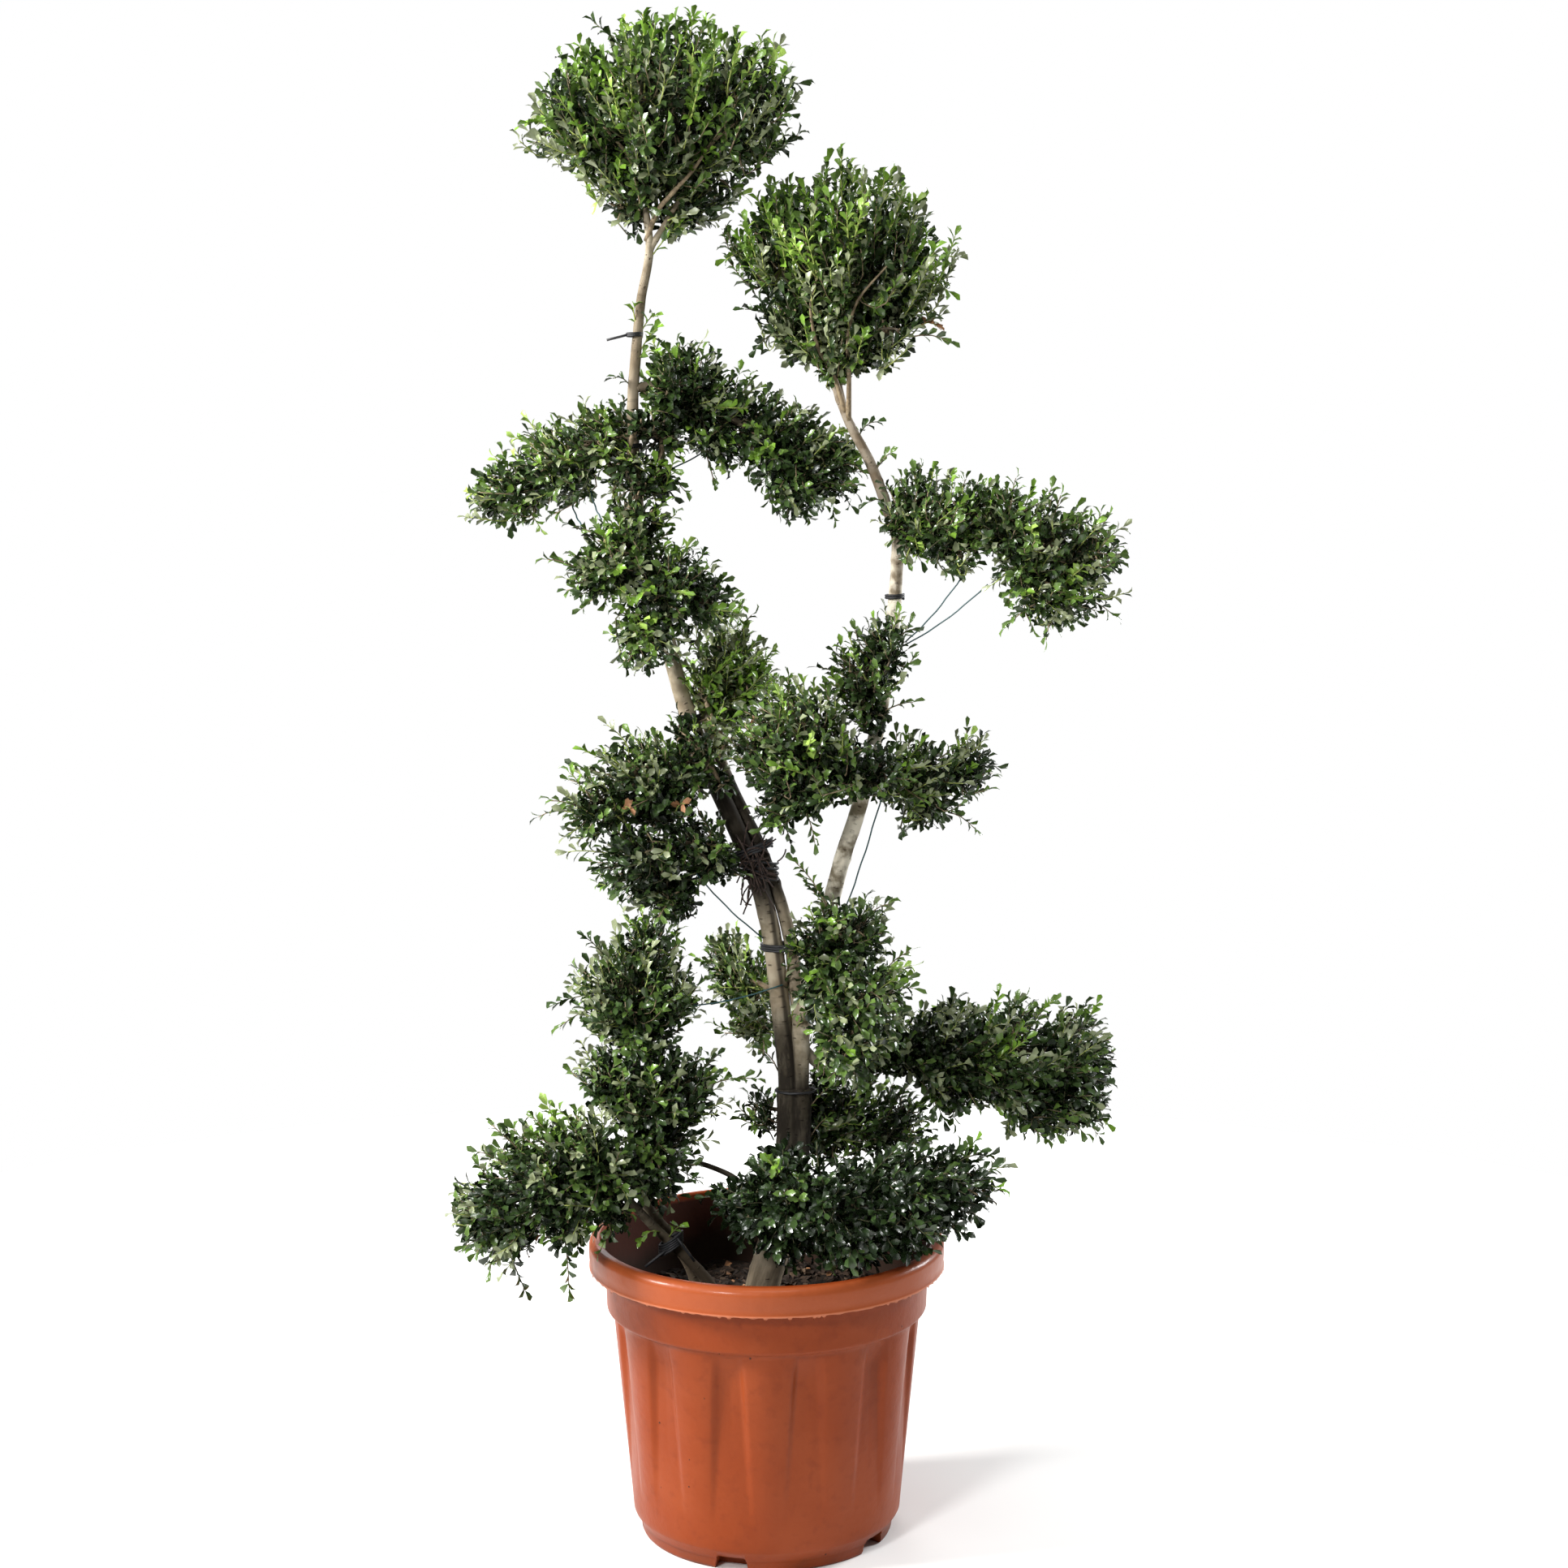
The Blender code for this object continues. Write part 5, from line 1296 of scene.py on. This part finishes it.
def massRoot(mass):
    # Where the first stem of a mass leaves its limb
    path, _, _ = limbShape(mass["limb"], 0.01)
    if mass["at"] == "tip":
        return path[-1] + unit(path[-2] - path[-1]) * foliage["rootInset"]
    return path[np.abs(path[:, 2] - mass["at"]).argmin()]


def growStems(mass, root, picks):
    # A stem to the first lobe, and a fork from the nearest earlier lobe to each other one
    centres = lobeTable(mass)[:, :3]
    starts, ends = [root], [centres[0]]
    for number in range(1, len(centres)):
        away = np.linalg.norm(centres[:number] - centres[number], axis=1)
        starts.append(centres[away.argmin()])
        ends.append(centres[number])
    starts, ends = np.array(starts), np.array(ends)
    length = np.linalg.norm(ends - starts, axis=1, keepdims=True)
    control = (starts + ends) / 2 + picks.normal(0, foliage["stemBend"], starts.shape) * length
    control[:, 2] += foliage["stemLift"] * length[:, 0]
    return curve(starts, control, ends, 8)


def growLobe(name, mass, lobe, root, picks):
    # Boughs out of the middle of a lobe, and shoots from the boughs to its surface
    centre, reach = np.array(lobe[:3]), lobe[3]
    full = lobe[4] if len(lobe) > 4 else 1
    widen = np.array([1, mass["depth"], 1])
    count = round(foliage["shootsPerArea"] * mass["density"] * reach ** 2 * mass["depth"] * full)
    out = spreadDirections(count, picks)
    shift = Vector((lobe[0] * 40, lobe[2] * 40, 0))
    uneven = np.array([noise.noise(Vector(d) * foliage["unevenScale"] + shift) for d in out])
    reachOut = reach * (1 + foliage["unevenness"] * uneven) - foliage["tipInset"]
    reachOut += picks.normal(0, foliage["ragged"], count)
    leading = picks.random(count) < mass["leading"]
    reachOut += np.where(leading, picks.uniform(*foliage["leadingReach"], count), 0)
    inner = (picks.random(count) < mass["inner"]) & ~leading
    reachOut = np.where(inner, reachOut * picks.uniform(*foliage["innerReach"], count), reachOut)
    tips = centre + out * widen * reachOut[:, None]
    # Shoots lost inside a neighbouring lobe of the same mass are mostly left out
    share = shareOfSpace(mass, tips)
    ownShare = np.linalg.norm((tips - centre) / widen, axis=1) / reach
    outermost = share > ownShare - foliage["shootMargin"]
    # Gaps between clumps of shoots show the dark inside
    clump = np.array([noise.noise(Vector(tip) * foliage["gapScale"]) for tip in tips])
    thick = (clump > mass["gap"]) | (share < foliage["coreShare"])
    keep = (outermost | (picks.random(count) < foliage["sunkShare"])) & thick
    keep &= inOwnSpace(name, tips, foliage["shootMargin"]) & inOpenSpace(tips)
    out, tips, leading = out[keep], tips[keep], leading[keep]
    count = len(tips)
    boughCount = foliage["leastBoughs"] + round(foliage["boughShare"] * count)
    boughs = growBoughs(centre, reach, widen, boughCount, picks)
    away = (0.80 - mass["fan"]) * out + mass["fan"] * unit(tips - root)
    upward = mass["rise"] * np.array([0, 0, 1.0])
    heading = unit(away + upward + picks.normal(0, foliage["shootSpread"], (count, 3)))
    # Shoots are shorter in a small lobe
    length = picks.uniform(*foliage["shootLength"], (count, 1)) * min(1.15, 0.6 + reach * 6.5)
    length = length * np.where(leading, foliage["leadingLength"], mass["long"])[:, None]
    control = tips - heading * length
    # Each shoot leaves the bough that passes nearest to its foot
    nodes = boughs[:, 1:].reshape(-1, 3)
    away = np.linalg.norm(control[:, None] - nodes[None], axis=2)
    foot = nodes[away.argmin(axis=1)]
    shoots = curve(foot, control, tips, 5)
    return boughs, shoots, out, leading


def growBoughs(centre, reach, widen, count, picks):
    # Short boughs in all directions from the middle of a lobe
    out = unit(spreadDirections(count, picks) + picks.normal(0, foliage["boughTurn"], (count, 3)))
    start = centre + picks.normal(0, foliage["boughStart"], (count, 3)) * reach
    end = centre + out * widen * reach * picks.uniform(*foliage["boughReach"], (count, 1))
    bend = (start + end) / 2 + picks.normal(0, foliage["boughBend"], (count, 3)) * reach
    return curve(start, bend, end, 6)


def growSprigs(mass, picks):
    # Stray shoots that stand out of the clipped surface
    shoots = []
    lobes = lobeTable(mass)
    aside = foliage["sprigAside"]
    for x, z in mass["sprigs"]:
        away = np.hypot(lobes[:, 0] - x, lobes[:, 2] - z) - lobes[:, 3]
        lobe = lobes[away.argmin()]
        y = lobe[1] + picks.uniform(-aside, aside) * lobe[3] - foliage["sprigForward"]
        tip = np.array([x, y, z])
        foot = lobe[:3] + (tip - lobe[:3]) * foliage["sprigStart"]
        bend = (tip + foot) / 2 + np.array([0, 0, foliage["sprigLift"]])
        bend = bend + picks.normal(0, foliage["sprigBend"], 3)
        # The leaf at the end reaches the outline
        tip = tip - unit(tip - bend) * foliage["lastLeaf"]
        shoots.append(curve(foot[None], bend[None], tip[None], 5)[0])
    for start, tip in mass["strays"]:
        start, tip = np.array(start, float), np.array(tip, float)
        bend = (tip + start) / 2 + np.array([0, 0, foliage["strayLift"]])
        bend = bend + picks.normal(0, foliage["strayBend"], 3)
        shoots.append(curve(start[None], bend[None], tip[None], 5)[0])
    return np.array(shoots).reshape(-1, 5, 3)


# Tints by their place in leafTints. An old leaf takes the older tint of its shoot's tint
olderTint = (0, 0, 1, 1, 2, 4, 6)
sheenTint, youngTints = 3, (5, 4)
sprigTints, sprigShares = [1, 2, 3, 4, 5], [0.3, 0.3, 0.15, 0.15, 0.1]


def leavesOnShoots(shoots, tints, picks, firstShare, free):
    # Leaves alternate along each shoot, and the last one carries on from its tip
    roots, headings, facings, kinds, loose = [], [], [], [], []
    for shoot, tint, first, stray in zip(shoots, tints, firstShare, free):
        pieces = np.linalg.norm(np.diff(shoot, axis=0), axis=1)
        total = pieces.sum()
        count = max(3, round(total * (1 - first) / foliage["leafGap"]))
        places = np.linspace(first, 1, count)
        marks = np.concatenate([[0], np.cumsum(pieces)]) / total
        spots = np.stack([np.interp(places, marks, shoot[:, axis]) for axis in range(3)], axis=1)
        along = unit(np.gradient(spots, axis=0))
        start = picks.uniform(0, 2 * math.pi)
        turn = start + np.arange(count) * foliage["leafTurn"]
        turn = turn + picks.normal(0, foliage["turnSpread"], count)
        guide = unit(np.cross(along, [[0.31, 0.17, 0.93]]))
        over = np.cross(guide, along)
        side = guide * np.cos(turn)[:, None] + over * np.sin(turn)[:, None]
        bend = foliage["spread"] * picks.uniform(*foliage["spreadRange"], count)
        bend[-1] *= foliage["lastSpread"]
        heading = along * np.cos(bend)[:, None] + side * np.sin(bend)[:, None]
        # The upper side faces the shoot's tip and the sky
        facing = foliage["facingAlong"] * along + np.array([0, 0, foliage["facingUp"]])
        facing = facing - foliage["facingAside"] * side
        facing = facing + picks.normal(0, foliage["facingSpread"], (count, 3))
        roots.append(spots)
        headings.append(heading)
        facings.append(facing)
        # The leaves near the foot of a shoot are older, and deeper
        old = picks.random(count) < foliage["oldShare"] * (1.1 - places)
        kinds.append(np.where(old, olderTint[tint], tint))
        loose.append(np.full(count, stray))
    return [np.concatenate(part) for part in (roots, headings, facings, kinds, loose)]


# How the tints follow painted light from above, painted shade at the back and in depth, and patches. Depths
# are below the surface of a lobe of the usual reach
shading = {
    "middle": 0.60, "upward": 0.18, "backward": 0.06, "inward": 26, "usualReach": 0.07, "skin": 0.013,
    "core": 0.015, "patch": 0.5, "patchScale": 16, "luck": 0.48, "oddShare": 0.03, "greyShare": 0.19,
    "greyBelow": 0.10, "footHeight": 0.08, "greyTones": ("crown", "bright", "fresh"), "youngShare": 0.42,
    "youngAbove": -0.15, "oldTones": ("dark", "gloss"),
}


def dealTints(mass, shoots, out, leading, picks):
    # High and outer shoots are fresher, low, back and inner ones deeper: partly younger growth outside,
    # partly painted light and painted shade
    weights = np.array(tones[mass["tone"]])
    steps = np.cumsum(weights / weights.sum())
    tips, count = shoots[:, -1], len(shoots)
    depth = (1 - shareOfSpace(mass, tips)) * shading["usualReach"]
    light = shading["middle"] + shading["upward"] * out[:, 2] - shading["backward"] * out[:, 1]
    light -= shading["inward"] * np.maximum(depth - shading["skin"], 0)
    light += shading["patch"] * np.array([noise.noise(Vector(tip) * shading["patchScale"]) for tip in tips])
    drawn = shading["luck"] * picks.random(count) + (1 - shading["luck"]) * np.clip(light, 0, 1)
    drawn = np.clip(drawn, 0, 0.9999)
    drawn = np.where(picks.random(count) < shading["oddShare"], picks.random(count), drawn)
    drawn = drawn * np.where(depth > shading["core"], mass["core"], 1)
    tints = np.searchsorted(steps, drawn)
    # Some that face out or down take the pale tint as painted sheen, most of all at the foot of a crown
    low = np.clip((tips[:, 2].mean() - tips[:, 2]) / shading["footHeight"], 0, 1)
    grey = picks.random(count) < shading["greyShare"] + mass["paleFoot"] * low
    grey &= (out[:, 2] < shading["greyBelow"]) & (mass["tone"] in shading["greyTones"])
    tints = np.where(grey, sheenTint, tints)
    # Leading shoots are young where they face up
    young = np.where(picks.random(count) < shading["youngShare"], *youngTints)
    fresh = leading & (out[:, 2] > shading["youngAbove"]) & (mass["tone"] not in shading["oldTones"])
    return np.where(fresh, young, tints)


def growMass(name, finishes, samples, number):
    mass = masses[name]
    picks = np.random.default_rng([foliage["seed"], number])
    root = massRoot(mass)
    stems = growStems(mass, root, picks)
    grown = [growLobe(name, mass, lobe, root, picks) for lobe in mass["lobes"]]
    boughs, shoots, outs, leading = [np.concatenate(part) for part in zip(*grown)]
    tints = dealTints(mass, shoots, outs, leading, picks)
    firstShare = picks.uniform(*foliage["bareFoot"], len(shoots))
    sprigs = growSprigs(mass, picks)
    if len(sprigs):
        shoots = np.concatenate([shoots, sprigs])
        leading = np.concatenate([leading, np.zeros(len(sprigs), bool)])
        dealt = picks.choice(sprigTints, len(sprigs), p=sprigShares)
        # A mass can have one tint for its stray shoots
        if mass["strayTint"] is not None:
            dealt[len(mass["sprigs"]):] = mass["strayTint"]
        tints = np.concatenate([tints, dealt])
        firstShare = np.concatenate([firstShare, np.full(len(sprigs), foliage["sprigFoot"])])
    free = np.arange(len(shoots)) >= len(shoots) - len(sprigs)
    roots, headings, facings, kinds, free = leavesOnShoots(shoots, tints, picks, firstShare, free)
    lengths = picks.uniform(*foliage["leafLength"], len(roots)) * mass["grow"]
    tipsOfLeaves = roots + headings * lengths[:, None]
    middles = roots + headings * lengths[:, None] * 0.55
    ownTips = inOwnSpace(name, tipsOfLeaves, foliage["tipMargin"])
    keep = free | (ownTips & inOwnSpace(name, middles, foliage["leafMargin"]))
    keep &= inOpenSpace(tipsOfLeaves) & inOpenSpace(middles)
    keep &= clearOfLimbs(middles, samples, foliage["limbGap"])
    keep &= clearOfLimbs(tipsOfLeaves, samples, foliage["tipGap"])
    kept = [part[keep] for part in (roots, headings, facings, lengths, kinds)]
    leaves = makeLeaves(name, *kept, finishes)
    leaders = [smoothPath(path, 0.012) for path in mass["leaders"]]
    wood = makeTwigs(name, stems, boughs, shoots, tints, leading, leaders, finishes)
    print(name, int(keep.sum()), "leaves,", len(shoots), "shoots")
    return leaves, wood


def pieceName(node, ending):
    first, *rest = node.split("_")
    return first + "".join(word.title() for word in rest) + ending


def makeTwigs(name, stems, boughs, shoots, tints, leading, leaders, finishes):
    def taper(tubes, ends, steps):
        wide = np.repeat(np.linspace(*ends, steps)[None], len(tubes), axis=0)
        if tubes is shoots:
            wide *= np.where(leading, foliage["leadingWidth"], 1)[:, None]
        return wide

    groups = [(stems, *foliage["stem"]), (boughs, *foliage["bough"])]
    groups += [(path[None], *foliage["leader"]) for path in leaders]
    # Shoots are brown, old or green by the tint of their leaves, and the rest is brown
    age = np.where(tints >= 3, 2, np.where(tints <= 1, 1, 0))
    points, quadRows, capRows, kinds, start = [], [], [], [], 0
    for tubes, ends, sides in groups + [(shoots, *foliage["shoot"])]:
        steps = tubes.shape[1]
        rings = tubePoints(tubes, taper(tubes, ends, steps), sides).reshape(-1, 3)
        quads, caps = tubeFaces(len(tubes), steps, sides)
        points.append(rings)
        quadRows.append(quads + start)
        capRows.append(caps + start)
        start += len(rings)
        kind = age if tubes is shoots else np.zeros(len(tubes), int)
        kinds.append((np.repeat(kind, len(quads) // len(tubes)), np.repeat(kind, 2)))
    mesh = arrayMesh(name, np.concatenate(points), quadRows + capRows)
    index = np.concatenate([kind[0] for kind in kinds] + [kind[1] for kind in kinds]).astype(np.int32)
    wood = [finishes["twigWood"], finishes["oldShoot"], finishes["greenShoot"]]
    piece = addPiece(pieceName(name, "Twigs"), mesh, wood)
    mesh.polygons.foreach_set("material_index", index)
    return piece


def makeLeaves(name, roots, headings, facings, lengths, kinds, finishes):
    # The spots of the leaves are a mesh of points, and geometry nodes set a leaf on each
    spots = bpy.data.meshes.new("spots")
    spots.vertices.add(len(roots))
    spots.vertices.foreach_set("co", roots.astype(np.float32).ravel())
    for label, kind, values, field in (("heading", "FLOAT_VECTOR", headings, "vector"),
                                       ("facing", "FLOAT_VECTOR", facings, "vector"),
                                       ("size", "FLOAT", lengths, "value"),
                                       ("tint", "FLOAT", (kinds + 0.5) / len(leafTints), "value")):
        layer = spots.attributes.new(label, kind, "POINT")
        layer.data.foreach_set(field, values.astype(np.float32).ravel())
    carrier = bpy.data.objects.new("spots", spots)
    bpy.context.scene.collection.objects.link(carrier)
    values = {"Leaf": finishes["leafShape"], "Seed": leaf["seed"]}
    values["Least width"], values["Most width"] = leaf["widths"]
    values["Least bend"], values["Most bend"] = leaf["bends"]
    mesh = runTree(carrier, finishes["leafTree"], values, name)
    bpy.data.objects.remove(carrier, do_unlink=True)
    bpy.data.meshes.remove(spots)
    return addPiece(pieceName(name, "Leaves"), mesh)


def leafTree(materials):
    inputs = [("Leaf", "NodeSocketObject", None), ("Seed", "NodeSocketInt", 1)]
    for label in ("Least width", "Most width", "Least bend", "Most bend"):
        inputs.append((label, "NodeSocketFloat", 1.0))
    tree, make, start = newTree("leavesOnSpots", inputs)
    turn = make.add("FunctionNodeAxesToRotation", {"primary_axis": "X", "secondary_axis": "Z"},
                    {0: make.named("heading", "FLOAT_VECTOR"), 1: make.named("facing", "FLOAT_VECTOR")})
    seedWire = start.out("Seed")
    wide = make.between(start.out("Least width"), start.out("Most width"), seedWire)
    bent = make.between(start.out("Least bend"), start.out("Most bend"), seedWire + 1)
    size = make.named("size", "FLOAT")
    scale = make.add("ShaderNodeCombineXYZ", None, {0: size, 1: size * wide, 2: size * bent})
    info = make.add("GeometryNodeObjectInfo", None, {"Object": start.out("Leaf")}, out="Geometry")
    placed = make.add("GeometryNodeInstanceOnPoints", None,
                      {"Points": start.out("Geometry"), "Instance": info, "Rotation": turn, "Scale": scale})
    real = make.add("GeometryNodeRealizeInstances", None, {"Geometry": placed})
    make.add("NodeGroupOutput", None, {"Geometry": setMaterials(make, real, materials, "tint")})
    return tree


# Rubber ties round the stems, training wires and a tangle of dead twigs

ties = {
    "coils": [
        dict(centre=(0.0215, 0.003, 0.836), wide=0.0285, deep=0.0205, turns=3, rise=0.0100),
        dict(centre=(-0.1050, 0, 1.155), wide=0.0142, deep=0.0142, turns=3, rise=0.0120),
        dict(centre=(-0.1770, 0, 1.676), wide=0.0100, deep=0.0100, turns=2, rise=0.0050),
        dict(centre=(-0.1800, 0, 1.527), wide=0.0108, deep=0.0108, turns=2, rise=0.0050),
        dict(centre=(0.1755, 0, 1.323), wide=0.0120, deep=0.0120, turns=2, rise=0.0060),
        dict(centre=(0.0420, 0, 0.632), wide=0.0290, deep=0.0222, turns=1, rise=0.0030),
        dict(centre=(-0.0150, 0.003, 0.948), wide=0.0310, deep=0.0205, turns=4, rise=0.0300, lean=-0.30),
        dict(centre=(-0.0240, 0.003, 0.972), wide=0.0320, deep=0.0215, turns=3, rise=0.0120, lean=0.35),
        dict(centre=(-0.1330, -0.044, 0.424), wide=0.0160, deep=0.0150, turns=5, rise=0.0170, lean=0.62),
    ],
    "wires": [
        ((-0.126, -0.020, 0.755), (0.023, -0.016, 0.786)),
        ((-0.097, -0.072, 0.955), (-0.004, -0.013, 0.851)),
        ((0.161, -0.010, 1.056), (0.107, -0.024, 0.888)),
        ((0.264, -0.040, 1.352), (0.190, -0.012, 1.262)),
        ((0.298, -0.060, 1.344), (0.190, -0.012, 1.258)),
        ((-0.270, 0.060, 1.453), (-0.249, 0, 1.419)),
        ((-0.241, 0.030, 1.468), (-0.223, 0, 1.428)),
        ((-0.179, -0.010, 1.482), (-0.078, 0.050, 1.522)),
    ],
    "tails": [
        ((-0.186, -0.004, 1.676), (-0.214, -0.006, 1.669)),
        ((0.050, -0.006, 0.836), (0.058, -0.014, 0.822)),
        ((-0.124, -0.056, 0.436), (-0.100, -0.056, 0.402)),
        ((-0.140, -0.058, 0.418), (-0.168, -0.062, 0.396)),
    ],
    "tangle": dict(centre=(-0.014, -0.016, 0.950), size=(0.024, 0.008, 0.036), twigs=40, spread=0.4,
                   reach=0.6, bend=0.006, points=7),
    "seed": 77,
    "bandRadius": 0.0019, "wireRadius": 0.0011, "twigRadius": 0.0011, "sag": 0.006, "kink": 0.0006,
    "wirePoints": 12, "stepsPerTurn": 20,
}


def tubeSet(paths, radius, sides):
    # Each path may have its own number of steps
    points, faces, start = [], [], 0
    for path in paths:
        path = np.array(path, float)
        rings = tubePoints(path[None], np.full((1, len(path)), radius), sides).reshape(-1, 3)
        quads, caps = tubeFaces(1, len(path), sides)
        points.append(rings)
        faces += [quads + start, caps + start]
        start += len(rings)
    return np.concatenate(points), faces


def makeTies(bandMaterial, wireMaterial, twigMaterial):
    picks = np.random.default_rng(ties["seed"])
    bands, wires, twigs = [], [], []
    for coil in ties["coils"]:
        turn = np.linspace(0, coil["turns"] * 2 * math.pi, coil["turns"] * ties["stepsPerTurn"] + 1)
        offset = np.stack([coil["wide"] * np.cos(turn), coil["deep"] * np.sin(turn),
                           coil["rise"] * (turn / turn[-1] - 0.5)], axis=1)
        offset[:, 2] += offset[:, 0] * coil.get("lean", 0)
        bands.append(np.array(coil["centre"]) + offset)
    for start, end in ties["tails"]:
        bands.append(np.linspace(start, end, 4))
    count = ties["wirePoints"]
    for start, end in ties["wires"]:
        line = np.linspace(start, end, count)
        line[:, 2] -= ties["sag"] * np.sin(np.linspace(0, math.pi, count))
        line[:, 0] += ties["kink"] * np.sin(np.arange(count) * 1.7)
        wires.append(line)
    tangle = ties["tangle"]
    centre, size = np.array(tangle["centre"]), np.array(tangle["size"])
    for _ in range(tangle["twigs"]):
        middle = centre + picks.normal(0, 1, 3) * size * tangle["spread"]
        reach = picks.normal(0, 1, 3) * size
        bend = picks.normal(0, tangle["bend"], 3)
        t = np.linspace(-1, 1, tangle["points"])[:, None]
        twigs.append(middle + reach * t * tangle["reach"] + bend * (1 - t ** 2))
    pieces = []
    for name, paths, radius, sides, material in (
            ("stemTies", bands, ties["bandRadius"], 6, bandMaterial),
            ("trainingWires", wires, ties["wireRadius"], 5, wireMaterial),
            ("deadTwigs", twigs, ties["twigRadius"], 5, twigMaterial)):
        points, faces = tubeSet(paths, radius, sides)
        pieces.append(addPiece(name, arrayMesh(name, points, faces), [material]))
    return pieces


# Sky and floor


def makeSky():
    sky = bpy.data.worlds.new("sky")
    bpy.context.scene.world = sky
    sky.use_nodes = True
    make = Maker(sky.node_tree)
    seen = make.add("ShaderNodeLightPath", None, None, out="Is Camera Ray")
    mirrored = make.add("ShaderNodeLightPath", None, None, out="Is Glossy Ray")
    back = sky.node_tree.nodes["Background"]
    back.inputs["Color"].default_value = (*studio["skySeen"], 1)
    strength = seen * (1 - studio["skyLight"]) + studio["skyLight"]
    strength = strength - mirrored * (studio["skyLight"] - studio["skyMirrored"])
    sky.node_tree.links.new(strength.socket, back.inputs["Strength"])


def makeFloor():
    sides = studio["floorSides"]
    angles = turns(sides)
    points = np.stack([np.sin(angles), -np.cos(angles), np.zeros(sides)], axis=1) * studio["floorRadius"]
    points[:, 2] = -studio["floorDrop"]
    floor = addPiece("floor", arrayMesh("floor", points, [np.arange(sides)[None]]), [floorFinish()])


# Everything is made here

setCamera()
for lightName, light in studio["lights"].items():
    areaLight(lightName, **light)
makeSky()
makeFloor()
bpy.context.scene.view_settings.view_transform = "Standard"
print("studio made")

potPiece = makePot(terracottaFinish())
handOver(potPiece, "terracotta", "pot")
print("pot made")

leafMaterials = [leafFinish(name, *tint) for name, tint in leafTints.items()]
soilPiece, chipPiece, litterPiece = makeSoil(soilFinish(), chipFinish(), leafMaterials[-1])
handOver(soilPiece, "soil", "soil")
handOver(chipPiece, "soil", "soil")
handOver(litterPiece, "soil", "soil")
print("soil made")

barkMaterial = barkFinish()
for seed, limbName in enumerate(limbs):
    handOver(makeLimb(limbName, barkMaterial, bark["firstSeed"] + seed), "bark", limbName)
print("limbs made")

for piece in makeTies(tieFinish("blackRubber", rgb(0.014, 0.014, 0.016), 0.5),
                      tieFinish("greenWire", rgb(0.012, 0.060, 0.066), 0.4),
                      plainWoodFinish("deadWood", rgb(0.060, 0.038, 0.030), rgb(0.025, 0.016, 0.014))):
    handOver(piece, "bark")
print("ties made")

leafShape = addPiece("leafShape", leafMesh(), leafMaterials[:1])
finishes = {
    "twigWood": plainWoodFinish("twigWood", rgb(0.27, 0.205, 0.125), rgb(0.13, 0.095, 0.058)),
    "oldShoot": plainWoodFinish("oldShoot", rgb(0.095, 0.095, 0.045), rgb(0.055, 0.050, 0.028)),
    "greenShoot": plainWoodFinish("greenShoot", rgb(0.36, 0.41, 0.110), rgb(0.20, 0.26, 0.065)),
    "leafTree": leafTree(leafMaterials),
    "leafShape": leafShape,
}
samples = limbSamples()
for number, massName in enumerate(masses):
    leaves, wood = growMass(massName, finishes, samples, number)
    handOver(leaves, "foliage", massName)
    handOver(wood, "bark", massName)
bpy.data.objects.remove(leafShape, do_unlink=True)
print("foliage made")
